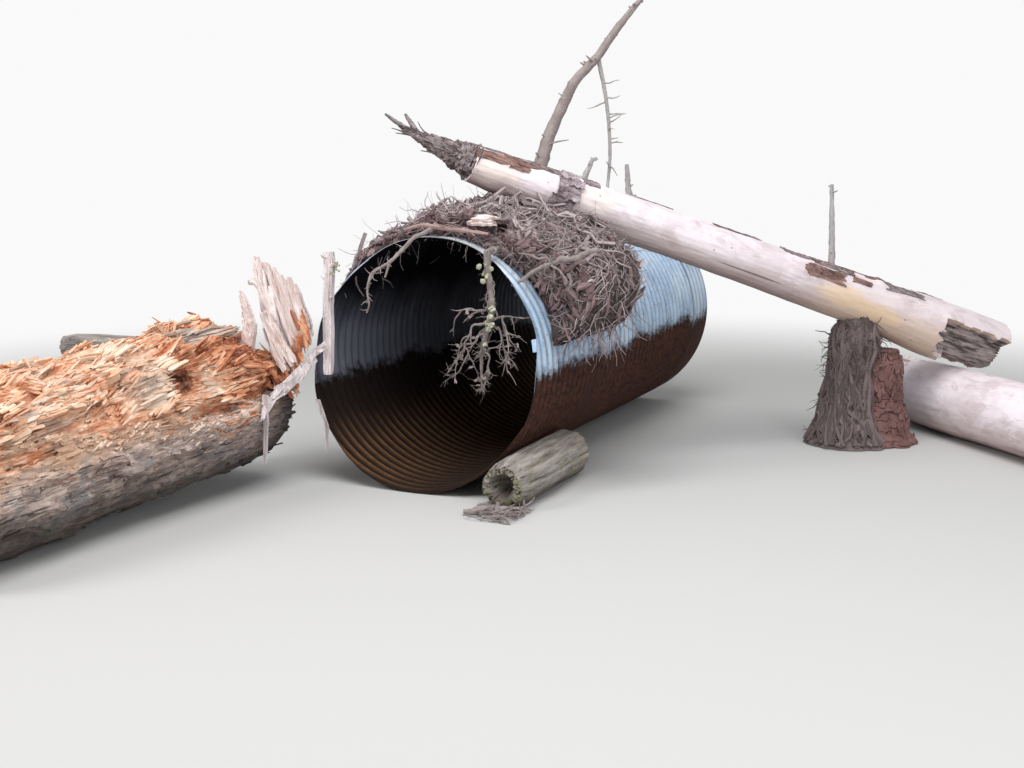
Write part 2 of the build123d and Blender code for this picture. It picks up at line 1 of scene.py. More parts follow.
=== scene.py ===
# %% [markdown]
# # A culvert end between logs
# A round corrugated pipe ends between logs. Logs lie on both sides of it, one log lies over the crown,
# and the room between is packed with brush. The solids already give each form its place and size, so
# this lesson only gives them their skin: zinc, rust, rotten heartwood, barked logs, and thousands of
# twigs and flakes.

# %% Load the solids as a fixed frame
import math
import random
import bpy
from mathutils import Matrix, Vector, noise


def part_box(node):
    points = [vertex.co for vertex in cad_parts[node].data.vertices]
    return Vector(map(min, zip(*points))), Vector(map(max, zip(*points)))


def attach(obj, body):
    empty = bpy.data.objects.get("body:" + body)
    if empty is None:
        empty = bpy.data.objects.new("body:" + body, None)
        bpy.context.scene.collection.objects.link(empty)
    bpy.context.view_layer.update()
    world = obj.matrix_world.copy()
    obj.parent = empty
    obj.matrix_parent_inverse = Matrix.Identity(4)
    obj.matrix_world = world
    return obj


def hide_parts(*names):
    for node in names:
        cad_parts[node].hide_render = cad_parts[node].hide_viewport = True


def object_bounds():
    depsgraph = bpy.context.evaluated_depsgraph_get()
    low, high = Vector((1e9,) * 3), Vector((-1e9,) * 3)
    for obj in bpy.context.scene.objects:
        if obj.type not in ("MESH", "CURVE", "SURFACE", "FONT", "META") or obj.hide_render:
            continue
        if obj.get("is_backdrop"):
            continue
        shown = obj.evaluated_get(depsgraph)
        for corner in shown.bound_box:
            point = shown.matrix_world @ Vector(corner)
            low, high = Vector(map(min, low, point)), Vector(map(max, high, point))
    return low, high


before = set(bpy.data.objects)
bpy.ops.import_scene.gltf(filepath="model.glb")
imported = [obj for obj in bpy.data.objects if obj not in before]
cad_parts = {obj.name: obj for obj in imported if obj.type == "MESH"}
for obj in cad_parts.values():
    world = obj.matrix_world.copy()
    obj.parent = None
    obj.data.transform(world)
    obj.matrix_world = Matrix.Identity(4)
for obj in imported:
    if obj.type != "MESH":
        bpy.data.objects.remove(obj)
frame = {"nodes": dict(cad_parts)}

cad_low, cad_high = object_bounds()
print("solids", len(frame["nodes"]), "from", cad_low, "to", cad_high)

# %% [markdown]
# The pipe sets every other place, since the logs lie against it. Its axis and its mouth are read from
# the solids, and all places below are metres from there: x to the right, y from the mouth back along
# the pipe, z up from the floor.

# %% Find the pipe in the frame
BORE_RADIUS = 0.6
PITCH = 0.068
RIDGE = 0.013
WALL = 0.0028
CREST = BORE_RADIUS + RIDGE + WALL
LEAN = math.tan(math.radians(10))
end_low, end_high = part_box("pipe_end_length")
_, buried_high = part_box("pipe_buried_length")
axis_x = (end_low.x + end_high.x) / 2
mouth_y = end_low.y + CREST * LEAN
PIPE_END = buried_high.y - mouth_y


def at(x, y, z):
    return Vector((axis_x + x, mouth_y + y, z))


def around_pipe(angle, radius, distance):
    rise = radius * math.sin(math.radians(angle))
    return at(radius * math.cos(math.radians(angle)), distance + rise * LEAN, CREST + rise)


print("pipe axis x", round(axis_x, 4), "mouth y", round(mouth_y, 4), "length", round(PIPE_END, 3))

# %% [markdown]
# A finish is worked out with arithmetic on sockets. One small class wraps a socket so that ordinary
# operators add Math nodes, and everything else comes from one method that adds a node.

# %% Sockets that do arithmetic
class Wire:
    def __init__(self, finish, socket):
        self.finish = finish
        self.socket = socket

    def math(self, operation, *others):
        inputs = {0: self}
        inputs.update({i + 1: other for i, other in enumerate(others)})
        return self.finish.add("Math", {"operation": operation}, inputs)

    def __add__(self, other): return self.math("ADD", other)
    def __sub__(self, other): return self.math("SUBTRACT", other)
    def __mul__(self, other): return self.math("MULTIPLY", other)
    def __pow__(self, other): return self.math("POWER", other)
    def __rsub__(self, other): return (self * -1).math("ADD", other)
    __radd__ = __add__
    __rmul__ = __mul__

    def clamp(self):
        return self.finish.add("Clamp", {}, {"Value": self})

    def ramp(self, low, high):
        """0 below low, 1 above high, smooth between."""
        return self.finish.add("MapRange", {"interpolation_type": "SMOOTHSTEP"},
                               {"Value": self, "From Min": low, "From Max": high})

    def dot(self, vector):
        return self.finish.add("VectorMath", {"operation": "DOT_PRODUCT"}, {0: self, 1: vector}, "Value")

    def vector(self, operation, other):
        return self.finish.add("VectorMath", {"operation": operation}, {0: self, 1: other}, "Vector")


def axes_along(direction):
    """A direction at length 1, and the two that are square to it."""
    direction = Vector(direction).normalized()
    across = Vector((0, 0, 1)).cross(direction).normalized()
    return direction, across, direction.cross(across)


class Nodes:
    """A tree of nodes, and the one method that adds to it."""

    def __init__(self, tree):
        self.tree = tree

    def add(self, kind, settings=None, sockets=None, output=0):
        node = self.tree.nodes.new("ShaderNode" + kind)
        for key, value in (settings or {}).items():
            if key == "stops":
                self.set_stops(node.color_ramp.elements, value)
            else:
                setattr(node, key, value)
        for key, value in (sockets or {}).items():
            if isinstance(value, Wire):
                self.tree.links.new(value.socket, node.inputs[key])
            else:
                node.inputs[key].default_value = value
        return Wire(self, node.outputs[output])

    @staticmethod
    def set_stops(elements, stops):
        while len(elements) < len(stops):
            elements.new(0.5)
        for element, (position, colour) in zip(elements, stops):
            element.position = position
            element.color = (*colour, 1)


class Finish(Nodes):
    """One material, and what its finish is worked out from."""

    def __init__(self, name):
        self.material = bpy.data.materials.new(name)
        self.material.use_nodes = True
        super().__init__(self.material.node_tree)
        self.surface = self.tree.nodes["Principled BSDF"]

    def place(self):
        """The point on the surface, in metres."""
        return self.add("TexCoord", output="Object")

    def along(self, direction, stretch=8.0):
        """The place squeezed along a direction, so that noise comes out as grain along it."""
        direction, across, upward = axes_along(direction)
        place = self.place()
        return self.add("CombineXYZ", {}, {"X": place.dot(direction) * (1 / stretch),
                                           "Y": place.dot(across), "Z": place.dot(upward)})

    def noise(self, vector, scale, detail=4.0, rough=0.55, twist=0.0):
        return self.add("TexNoise", {}, {"Vector": vector, "Scale": scale, "Detail": detail,
                                         "Roughness": rough, "Distortion": twist}, "Fac")

    def near(self, direction, stretch, centres, size, ragged):
        """1 close to some places, 0 away: patches drawn out along a direction, with uneven edges."""
        squeezed = self.along(direction, stretch)
        direction, across, upward = axes_along(direction)
        uneven = (self.noise(squeezed, 9, 5, 0.65) - 0.5) * ragged
        found = None
        for centre in centres:
            middle = (centre.dot(direction) / stretch, centre.dot(across), centre.dot(upward))
            away = self.add("VectorMath", {"operation": "DISTANCE"}, {0: squeezed, 1: middle}, "Value")
            here = 1 - (away + uneven).ramp(size * 0.5, size)
            found = here if found is None else found.math("MAXIMUM", here)
        return found

    def blend(self, factor, under, over):
        """One colour over another."""
        def colour(value):
            return value if isinstance(value, Wire) else (*value, 1)
        return self.add("Mix", {"data_type": "RGBA"}, {0: factor, 6: colour(under), 7: colour(over)}, 2)

    def set(self, name, value):
        if isinstance(value, Wire):
            self.tree.links.new(value.socket, self.surface.inputs[name])
        else:
            self.surface.inputs[name].default_value = value

    def relief(self, height, distance):
        bump = self.add("Bump", {}, {"Height": height, "Distance": distance, "Strength": 1.0})
        self.set("Normal", bump)


print("shader helpers ready")

# %% [markdown]
# Most pieces are long: logs, sticks, roots, splinters. Two helpers make them. One keeps a growing
# pile of points and faces and turns it into one named piece. The other gives a smooth line through a
# few given points, so that a twig bends as a twig and not as a bent wire.

# %% Piles of points, and smooth lines
CREASE = math.radians(42)
MARGIN = 0.001


def inside(point):
    """The point, or the nearest one in the solids' box, so that nothing sinks into the floor."""
    return tuple(min(max(v, low + MARGIN), high - MARGIN) for v, low, high in zip(point, cad_low, cad_high))


def lumpy(x, y, z):
    """Smooth noise at a place, about -1 to 1."""
    return noise.noise(Vector((x, y, z)))


def stray(chance, *spreads):
    """A random vector, from a mean and a spread for each of x, y and z."""
    return Vector([chance.gauss(*spread) for spread in spreads])


def square(vector, axis):
    """The part of a vector that is square to an axis, at length 1."""
    return (vector - axis * vector.dot(axis)).normalized()


class Pile:
    """Points and faces that grow into one named piece."""

    def __init__(self):
        self.points = []
        self.faces = []

    def add(self, points, faces):
        base = len(self.points)
        self.points += [tuple(p) for p in points]
        self.faces += [tuple(base + i for i in face) for face in faces]

    def grid(self, rows, around=True):
        """Rows of points with the same count, joined by four-sided faces."""
        count = len(rows[0])
        faces = []
        for r in range(len(rows) - 1):
            for i in range(count if around else count - 1):
                j = (i + 1) % count
                faces.append((r * count + i, r * count + j, (r + 1) * count + j, (r + 1) * count + i))
        self.add([p for row in rows for p in row], faces)

    def bar(self, rows):
        """A grid with a face over each end."""
        first, count = len(self.points), len(rows[0])
        self.grid(rows)
        last = first + (len(rows) - 1) * count
        self.faces.append(tuple(first + k for k in reversed(range(count))))
        self.faces.append(tuple(last + k for k in range(count)))

    def piece(self, name, finish, slot, nodes=(), smooth=True):
        mesh = bpy.data.meshes.new(name)
        mesh.from_pydata([inside(point) for point in self.points], [], self.faces)
        mesh.validate()
        mesh.materials.append(finish.material)
        if smooth:
            mesh.shade_smooth()
            mesh.set_sharp_from_angle(angle=CREASE)
        obj = bpy.data.objects.new(name, mesh)
        bpy.context.collection.objects.link(obj)
        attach(obj, "root")
        if nodes:
            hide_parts(*nodes)
        print(name, len(mesh.polygons), "faces")
        return obj


def smooth_line(points, sizes, steps=4):
    """Points and sizes on a smooth line through the given ones."""
    points = [Vector(p) for p in points]
    line, widths = [], []
    for i in range(len(points) - 1):
        a = points[max(i - 1, 0)]
        b, c = points[i], points[i + 1]
        d = points[min(i + 2, len(points) - 1)]
        for k in range(steps):
            t = k / steps
            line.append(0.5 * (2 * b + (c - a) * t + (2 * a - 5 * b + 4 * c - d) * t**2
                               + (3 * b - a - 3 * c + d) * t**3))
            widths.append(sizes[i] + (sizes[i + 1] - sizes[i]) * t)
    return line + [points[-1]], widths + [sizes[-1]]


def frame_along(line):
    """The two directions that are square to a line, at each of its points."""
    frames = []
    across = None
    for i in range(len(line)):
        tangent = (line[min(i + 1, len(line) - 1)] - line[max(i - 1, 0)]).normalized()
        if across is None:
            guide = Vector((0, 0, 1)) if abs(tangent.z) < 0.9 else Vector((0, 1, 0))
            across = guide.cross(tangent).normalized()
        across = (across - tangent * across.dot(tangent)).normalized()
        frames.append((across, tangent.cross(across)))
    return frames


def add_twig(pile, points, sizes, sides=5, steps=3, knots=0.12, seed=0.0):
    """A tapering twig with uneven thickness and closed ends."""
    line, widths = smooth_line(points, sizes, steps)
    rows = []
    for i, (centre, (across, upward)) in enumerate(zip(line, frame_along(line))):
        row = []
        for k in range(sides):
            angle = 2 * math.pi * k / sides
            size = widths[i] * (1 + knots * lumpy(seed + i * 0.9, k * 1.3, seed) * 2)
            row.append(centre + across * math.cos(angle) * size + upward * math.sin(angle) * size)
        rows.append(row)
    pile.bar(rows)


def wander(start, direction, length, bends, chance, bend=0.5):
    """A random twig's points, from a start along a direction."""
    points = [Vector(start)]
    heading = Vector(direction).normalized()
    for _ in range(bends):
        turn = stray(chance, (0, 1), (0, 1), (0, 1))
        heading = (heading + turn * bend / bends).normalized()
        points.append(points[-1] + heading * length / bends)
    return points


def tapered(size, count):
    return [size * (1 - 0.65 * i / (count - 1)) for i in range(count)]


def crooked(points, amount, chance, parts=3):
    """The same way with extra points that stray from it, as a root's does."""
    way = []
    for a, b in zip(points, points[1:]):
        for k in range(parts):
            aside = stray(chance, (0, 1), (0, 0.6), (0, 1)) * amount
            way.append(a.lerp(b, k / parts) + (aside if way else Vector()))
    return way + [points[-1]]


def add_lump(pile, centre, along, outward, sizes, seed, turns=10, falls=6):
    """A small uneven lump: a lobed ball, drawn out to three sizes."""
    side = along.cross(outward)
    rows = []
    for r in range(falls + 1):
        fall = math.pi * r / falls
        row = []
        for c in range(turns):
            turn = 2 * math.pi * c / turns
            way = Vector((math.sin(fall) * math.cos(turn), math.sin(fall) * math.sin(turn), math.cos(fall)))
            reach = 0.8 + 0.55 * noise.noise(way * 1.9 + Vector((seed, 0, 0))) + 0.25 * noise.noise(way * 6)
            row.append(centre + (along * way.x * sizes[0] + side * way.y * sizes[1]
                                 + outward * way.z * sizes[2]) * reach)
        rows.append(row)
    pile.grid(rows)


print("mesh helpers ready")

# %% [markdown]
# ## Zinc and rust
# The pipe is hot-dip galvanised steel. Where it stays dry the zinc has gone a soft blue-white, with the
# faint patchwork of its crystals. Below the stain line the zinc is gone and the steel is red-brown, with
# orange ridges, partly rust and partly a painted highlight on the lit left side. Painted shade darkens the
# corrugation valleys and the inside of the pipe, and painted light brightens its left inner wall and the
# top of the rim. One finish holds all of this, sorted by height and by which side of the wall the surface
# faces, so that it fits any piece of the pipe.

# %% The galvanised finish
STAIN_INSIDE, STAIN_RISE_OUTSIDE = 0.485, 0.12
OCHRE_TOP = 0.24


def galvanised():
    f = Finish("galvanised_zinc")
    place = f.place()
    height = place.dot((0, 0, 1))
    radial = place.vector("SUBTRACT", (axis_x, 0, CREST)).vector("MULTIPLY", (1, 0, 1))
    normal = f.add("NewGeometry", output="Normal")
    facing = f.add("VectorMath", {"operation": "DOT_PRODUCT"}, {0: radial, 1: normal}, "Value")
    outside = facing.ramp(-0.02, 0.02)
    broad = f.noise(place, 3.2, 5, 0.6)
    fine = f.noise(place, 38, 5, 0.65)
    streaks = f.noise(place.vector("MULTIPLY", (1, 1, 0.12)), 26, 4, 0.6)
    crystal = f.add("TexVoronoi", {}, {"Vector": place, "Scale": 55}, "Distance")
    zinc = f.blend((crystal * 1.3).clamp(), (0.33, 0.47, 0.65), (0.46, 0.61, 0.80))
    zinc = f.blend(broad.ramp(0.38, 0.7), zinc, (0.60, 0.72, 0.86))
    zinc = f.blend((fine.ramp(0.58, 0.72) * 0.6).clamp(), zinc, (0.17, 0.18, 0.21))
    dirt = f.blend(streaks, (0.05, 0.035, 0.025), (0.17, 0.13, 0.10))
    zinc = f.blend((streaks.ramp(0.5, 0.75) * 0.5).clamp(), zinc, dirt)
    wave = ((place.dot((0, 1, 0)) - mouth_y) * (2 * math.pi / PITCH)).math("COSINE")
    # Painted shade: the corrugation valleys are darkened as the ridges would shade them
    valley_shade = wave.ramp(-0.2, 1.0) * (0.35 + fine * 0.5)
    zinc = f.blend((valley_shade * 0.75).clamp(), zinc, (0.11, 0.13, 0.16))
    # The cut rim over the crown is painted bright: partly clean zinc, partly a painted highlight where its
    # top catches the light
    behind_rim = place.dot((0, 1, 0)) - (height - CREST) * LEAN - mouth_y
    rim_highlight = (1 - behind_rim.ramp(0.03, 0.13)) * height.ramp(1.0, 1.2)
    zinc = f.blend((rim_highlight * (0.55 + fine * 0.5)).clamp(), zinc, (0.74, 0.76, 0.76))
    # Painted shade and light inside the pipe: the inner wall is painted near-black as shade, and its left
    # part is painted lighter where light falls on it
    lit_left_wall = 1 - place.dot((1, 0, 0)).ramp(axis_x - 0.56, axis_x - 0.26)
    lit_left_wall = lit_left_wall * (1 - (height + (broad - 0.5) * 0.3).ramp(0.62, 0.98))
    shaded_inner_zinc = f.blend(broad.ramp(0.35, 0.7), (0.0015, 0.0015, 0.003), (0.007, 0.007, 0.011))
    shaded_inner_zinc = f.blend((lit_left_wall * (0.55 + streaks)).clamp(), shaded_inner_zinc, (0.15, 0.16, 0.20))
    zinc = f.blend(outside, shaded_inner_zinc, zinc)
    rust = f.blend(fine.ramp(0.3, 0.7), (0.026, 0.014, 0.012), (0.095, 0.040, 0.026))
    rust = f.blend(broad.ramp(0.5, 0.75), rust, (0.050, 0.027, 0.024))
    # Painted shade in the valleys of the rusted wall as well
    rust = f.blend((valley_shade * 0.8).clamp(), rust, (0.012, 0.008, 0.008))
    uneven_height = height + (broad - 0.5) * 0.22 + (fine - 0.5) * 0.14 + (streaks - 0.5) * 0.03
    edge = outside * STAIN_RISE_OUTSIDE + STAIN_INSIDE
    rusted = 1 - (uneven_height - edge).ramp(-0.035, 0.045)
    slimy = f.blend(fine, (0.007, 0.005, 0.005), (0.026, 0.017, 0.014))
    ochre = f.blend(streaks, (0.075, 0.036, 0.017), (0.24, 0.125, 0.055))
    low = 1 - (uneven_height - OCHRE_TOP).ramp(-0.10, 0.10)
    # Ochre on the ridge crests inside: partly rust, partly a painted highlight where the left side is lit
    lit = 1 - place.dot((1, 0, 0)).ramp(axis_x - 0.38, axis_x + 0.18) * 0.9
    lit_crests = (low * lit * (wave * 0.5 + 0.5) ** 2 * (0.35 + fine)).clamp()
    rust = f.blend(outside, f.blend(lit_crests, slimy, ochre), rust)
    f.set("Base Color", f.blend(rusted, zinc, rust))
    f.set("Metallic", ((1 - rusted) * outside * 0.3).clamp())
    f.set("Specular IOR Level", 0.10)
    f.set("Roughness", (fine * 0.25 + 0.42 + rusted * 0.25 + (1 - outside) * 0.3).clamp())
    f.relief(fine * 0.6 + crystal * 0.15 + streaks * 0.25, 0.0016)
    return f


zinc_finish = galvanised()
print("finish", zinc_finish.material.name)

# %% [markdown]
# ## The barrel
# A corrugated pipe is a plain profile turned round an axis, but this one was cut back on a slope, so its
# rim leans. The barrel is woven as a net of points: round the pipe one way, along it the other. Points
# that would stand in front of the leaning mouth are pulled back to it, and the wall is closed there.

# %% Weave the corrugated barrel
AROUND = 112
PER_PITCH = 7
DENT_DEPTH, DENT_LENGTH = 0.016, 0.25
DENT_ANGLE, DENT_SPREAD = 124, 13


def barrel_radius(y, angle, outer):
    wave = 0.5 - 0.5 * math.cos(2 * math.pi * y / PITCH)
    dent = DENT_DEPTH * math.exp(-((math.degrees(angle) - DENT_ANGLE) / DENT_SPREAD) ** 2)
    dent *= math.exp(-max(y + 0.02, 0) / DENT_LENGTH)
    ragged = 0.0022 * lumpy(math.cos(angle) * 4, math.sin(angle) * 4, y * 2)
    return BORE_RADIUS + RIDGE * wave + (WALL if outer else 0) - dent + min(ragged, 0)


def weave_barrel():
    pile = Pile()
    first = -int(CREST * LEAN / PITCH * PER_PITCH + 1)
    last = int(PIPE_END / PITCH * PER_PITCH)
    levels = [k * PITCH / PER_PITCH for k in range(first, last + 1)] + [PIPE_END]
    for outer in (False, True):
        for y in levels:
            for i in range(AROUND):
                angle = 2 * math.pi * i / AROUND
                nick = 0.006 * lumpy(math.cos(angle) * 9, math.sin(angle) * 9, 3)
                rim = CREST * math.sin(angle) * LEAN + max(nick, 0)
                held = max(y, rim)
                radius = barrel_radius(held, angle, outer)
                pile.points.append(tuple(at(radius * math.cos(angle), held,
                                            CREST + radius * math.sin(angle))))
    rows = len(levels)
    started = {}
    for side in (0, 1):
        for r in range(rows - 1):
            for i in range(AROUND):
                j = (i + 1) % AROUND
                corners = [(side * rows + r + step) * AROUND + k
                           for step, k in ((0, i), (0, j), (1, j), (1, i))]
                near_i, near_j, far_j, far_i = [pile.points[corner] for corner in corners]
                if near_i == far_i and near_j == far_j:
                    # Both rows are still held at the leaning rim, so the barrel starts later here
                    started[i] = r + 1
                    continue
                pile.faces.append(tuple(corners if side == 0 else reversed(corners)))
    inner_to_outer = rows * AROUND
    for i in range(AROUND):
        j = (i + 1) % AROUND
        near = started.get(i, 0)
        a, b = near * AROUND + i, near * AROUND + j
        pile.faces.append((b, a, a + inner_to_outer, b + inner_to_outer))
        a, b = (rows - 1) * AROUND + i, (rows - 1) * AROUND + j
        pile.faces.append((a, b, b + inner_to_outer, a + inner_to_outer))
    return pile


weave_barrel().piece("corrugated_barrel", zinc_finish, "galvanised",
                     ("pipe_end_length", "pipe_buried_length"))

# %% [markdown]
# The coupling band, its two drawing angles and the seam tab keep their solid shapes, which are right as
# they are. Three hexagon-headed bolts are the small repeats that draw the angles together.

# %% Band, angles, tab and bolts
for node in ("coupling_band", "band_angle_left", "band_angle_right", "pipe_seam_tab"):
    solid = frame["nodes"][node] if isinstance(frame["nodes"], dict) else bpy.data.objects[node]
    solid.data.materials.clear()
    solid.data.materials.append(zinc_finish.material)


def add_bolt(pile, centre, half, radius):
    """A bolt along x: shank, hexagon head, washer and nut."""
    for low, high, size, sides in ((-half, half, radius * 0.55, 12), (-half - 0.007, -half, radius, 6),
                                   (half, half + 0.008, radius, 6), (-half, -half + 0.002, radius * 1.25, 16),
                                   (half - 0.002, half, radius * 1.25, 16)):
        rows = []
        for x, scale in ((low, 0.0), (low, 0.9), (low + 0.001, 1.0),
                         (high - 0.001, 1.0), (high, 0.9), (high, 0.0)):
            rows.append([centre + Vector((x, math.cos(2 * math.pi * k / sides) * size * scale,
                                          math.sin(2 * math.pi * k / sides) * size * scale))
                         for k in range(sides)])
        pile.grid(rows)


angle_low, angle_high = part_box("band_angle_left")
other_low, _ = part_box("band_angle_right")
bolts = Pile()
for share in (0.22, 0.5, 0.78):
    y = angle_low.y + (angle_high.y - angle_low.y) * share
    x = (angle_high.x + other_low.x) / 2
    add_bolt(bolts, Vector((x, y, angle_high.z - 0.018)), (other_low.x - angle_high.x) / 2 + 0.008, 0.011)
bolts.piece("band_bolts", zinc_finish, "galvanised", smooth=False)

# %% [markdown]
# ## Logs
# A log is a ring of points carried along its length. Its ends were torn or rotted, not sawn, so the ring
# also closes over each end, and the end's points stand in or out by noise that follows the fibres. One
# helper makes any log from its two end points, a few radii along it, and a relief that the log's own
# surface needs.

# %% The log helper
class LogLine:
    """The straight line of a log, with its across and upward directions."""

    def __init__(self, start, toward):
        self.start = start
        self.length = (toward - start).length
        self.along, self.across, self.upward = axes_along(toward - start)

    def point(self, distance, angle, radius, rise=0.0):
        return (self.start + self.along * distance + self.across * (math.cos(angle) * radius)
                + self.upward * (math.sin(angle) * radius + rise))

    def outward(self, angle):
        return (self.across * math.cos(angle) + self.upward * math.sin(angle)).normalized()


def between(stations, distance):
    """The radius, drift and rise at a distance, eased between stations."""
    if distance <= stations[0][0]:
        return stations[0][1:]
    for near, far in zip(stations, stations[1:]):
        if distance <= far[0]:
            t = (distance - near[0]) / (far[0] - near[0])
            t = t * t * (3 - 2 * t)
            return tuple(a + (b - a) * t for a, b in zip(near[1:], far[1:]))
    return stations[-1][1:]


END_REACH = 0.12


def ridged(x, y, z):
    return 1 - abs(lumpy(x, y, z)) * 2


def log_rows(line, stations, relief, around=120, step=0.012, start_end=None, far_end=None, floor=True):
    """Rows of points over a whole log, its two ends included."""
    count = max(int(line.length / step), 8)
    fractions = (0.0, 0.25, 0.5, 0.68, 0.82, 0.92, 0.985)
    path = [(0.0, fraction) for fraction in fractions]
    path += [(line.length * i / count, 1.0) for i in range(count + 1)]
    path += [(line.length, fraction) for fraction in reversed(fractions)]
    rows = []
    for distance, fraction in path:
        radius, drift, rise = between(stations, distance)
        row = []
        for i in range(around):
            angle = 2 * math.pi * i / around
            where = distance
            if start_end and distance < END_REACH:
                where += start_end(angle, fraction) * (1 - distance / END_REACH)
            if far_end and line.length - distance < END_REACH:
                where += far_end(angle, fraction) * (1 - (line.length - distance) / END_REACH)
            size = (radius + relief(distance, angle, radius)) * fraction
            point = line.point(where, angle, size, rise) + line.across * drift
            if floor and point.z < 0.0:
                point.z = 0.0015 * (1 + noise.noise(point * 20))
            row.append(point)
        rows.append(row)
    return rows


print("log helper ready")

# %% [markdown]
# ## Weathered wood
# Old wood without its bark goes grey-brown and cracks along its grain. The grain comes from noise that
# is squeezed along the log's own direction, and the cracks are the thin dark places of a second, finer
# noise. The same recipe, with other colours, serves every log and splinter here.

# %% A wood finish along a direction
def wood(name, direction, pale, dark, crack, bump=0.004, patch=None, patch_at=(0.6, 0.75), rough=0.82,
         low_shade=None, grain=26, stretch=9.0, moss=None, islands=0.0, shade=None, upper=None):
    f = Finish(name)
    place = f.place()
    broad = f.noise(place, 4.5, 4, 0.6)
    grains = f.noise(f.along(direction, stretch), grain, 6, 0.68, 0.15)
    fibres = f.noise(f.along(direction, stretch * 1.8), grain * 5, 3, 0.75)
    split = 1 - f.noise(f.along(direction, stretch * 3), grain * 1.6, 3, 0.55).ramp(0.31, 0.38)
    colour = f.blend(grains.ramp(0.36, 0.64), dark, pale)
    if patch:
        spread = f.noise(place, 7.5, 5, 0.62, 0.6).ramp(*patch_at)
        colour = f.blend((spread * (0.6 + broad * 0.4)).clamp(), colour, patch)
    if islands:
        tone = f.add("NewGeometry", output="Random Per Island")
        colour = f.blend((tone * islands).clamp(), colour, dark)
    colour = f.blend((fibres.ramp(0.52, 0.72) * 0.5).clamp(), colour, tuple(min(c * 1.3, 0.92) for c in pale))
    colour = f.blend(((1 - fibres.ramp(0.30, 0.46)) * 0.55).clamp(), colour, crack)
    if upper:
        height = place.dot((0, 0, 1)) - place.dot(direction) * upper[3] + (broad - 0.5) * 0.16
        colour = f.blend((height.ramp(upper[0], upper[1]) * (0.25 + broad)).clamp(), colour, upper[2])
    if shade:
        way = place.dot(direction) + (broad - 0.5) * 0.3
        colour = f.blend(((1 - way.ramp(*shade[0])) * 0.93).clamp(), colour, shade[1])
    # Painted shade: the lower side is darkened where the log shades itself and the ground beneath it
    if low_shade:
        height = place.dot((0, 0, 1)) + (broad - 0.5) * 0.12
        colour = f.blend((1 - height.ramp(low_shade[0], low_shade[1])) * 0.85, colour, low_shade[2])
    if moss:
        under = (1 - (place.dot((0, 0, 1)) + (broad - 0.5) * 0.2).ramp(moss[0], moss[1]))
        colour = f.blend((f.noise(place, 17, 5, 0.7).ramp(0.52, 0.66) * under * 0.8).clamp(), colour, moss[2])
    colour = f.blend((split * 0.85).clamp(), colour, crack)
    f.set("Base Color", colour)
    f.set("Roughness", rough)
    f.relief(grains * 0.6 + fibres * 0.4 - split * 0.8, bump)
    return f


LOG_X, FAR, NEAR = -0.978, 0.425, -0.6278
left_far = at(LOG_X, -0.06, FAR)
left_near = at(-1.134, -2.29, 0.300)
left_line = LogLine(left_far, left_near)
left_begin = left_far.dot(left_line.along)
left_slope = left_line.along.z
left_level = left_far.z - left_begin * left_slope
LOG_SIDE = dict(pale=(0.90, 0.72, 0.63), dark=(0.32, 0.23, 0.21), crack=(0.026, 0.018, 0.016), bump=0.006,
                rough=0.88, patch=(0.31, 0.30, 0.31), patch_at=(0.50, 0.62),
                # The lower side is darkened here as painted shade
                low_shade=(0.12, 0.36, (0.026, 0.018, 0.016)), grain=30, stretch=6,
                moss=(0.12, 0.30, (0.060, 0.072, 0.026)),
                upper=(left_level - 0.03, left_level + 0.13, (0.56, 0.34, 0.21), left_slope),
                shade=((left_begin + 0.06, left_begin + 0.42), (0.020, 0.014, 0.013)))
left_side = wood("weathered_log_side", left_line.along, **LOG_SIDE)
print("finish", left_side.material.name)

# %% [markdown]
# ## The rotten log
# The left wing log is the most worn piece: a grey shell below, and above it the heartwood has
# gone soft and orange and breaks into flakes. The shell is one log whose top sinks away under the heap.
# Its side has long fissures, made by ridged noise that is stretched along the grain.

# %% Stations, plates and grooves of the left log
LEFT_STATIONS = [(0, 0.300, 0, 0), (0.09, 0.338, 0, 0), (0.45, 0.350, 0, 0), (0.85, 0.344, 0.008, 0),
                 (1.23, 0.332, 0.01, 0), (1.56, 0.344, 0.006, 0), (1.92, 0.348, 0, 0), (2.235, 0.325, 0, 0)]
HEART_RISE = 0.105
ROT_STATIONS = [(distance, radius, drift, HEART_RISE, crown) for distance, radius, drift, crown in (
    (-0.03, 0.220, 0, 0.9), (0.11, 0.270, 0, 1.12), (0.31, 0.310, 0.01, 1.13), (0.58, 0.296, 0.006, 1.0),
    (0.89, 0.306, 0.012, 0.93), (1.20, 0.294, 0.004, 0.86), (1.52, 0.304, 0.010, 0.90),
    (1.88, 0.298, 0.004, 0.78), (2.295, 0.250, 0, 0.7))]
STRATUM = 0.062
GROOVE = 0.048
# Start, length, angle in degrees, width and twist, as on the solids
STRATA = ((0.110, 0.480, 66, 0.150, -9), (0.150, 0.520, 106, 0.140, 6), (0.480, 0.620, 84, 0.170, 8),
          (0.560, 0.560, 50, 0.130, -8), (0.880, 0.640, 112, 0.150, -6), (1.000, 0.680, 68, 0.170, 10),
          (1.250, 0.560, 42, 0.120, -6), (1.430, 0.620, 94, 0.160, 7), (1.620, 0.540, 60, 0.150, -9),
          (1.700, 0.480, 124, 0.130, 6), (0.260, 0.900, 142, 0.140, 5), (1.250, 0.800, 152, 0.140, -5))
GROOVES = ((0.290, 0.560, 12, 0.130, 6), (0.620, 0.640, -22, 0.140, -6), (1.160, 0.700, -8, 0.150, 6),
           (1.560, 0.560, 22, 0.110, -5), (1.650, 0.520, -36, 0.140, 4), (0.330, 0.700, 170, 0.150, 5),
           (1.100, 0.800, 186, 0.160, -5), (0.600, 0.700, 214, 0.140, 4))
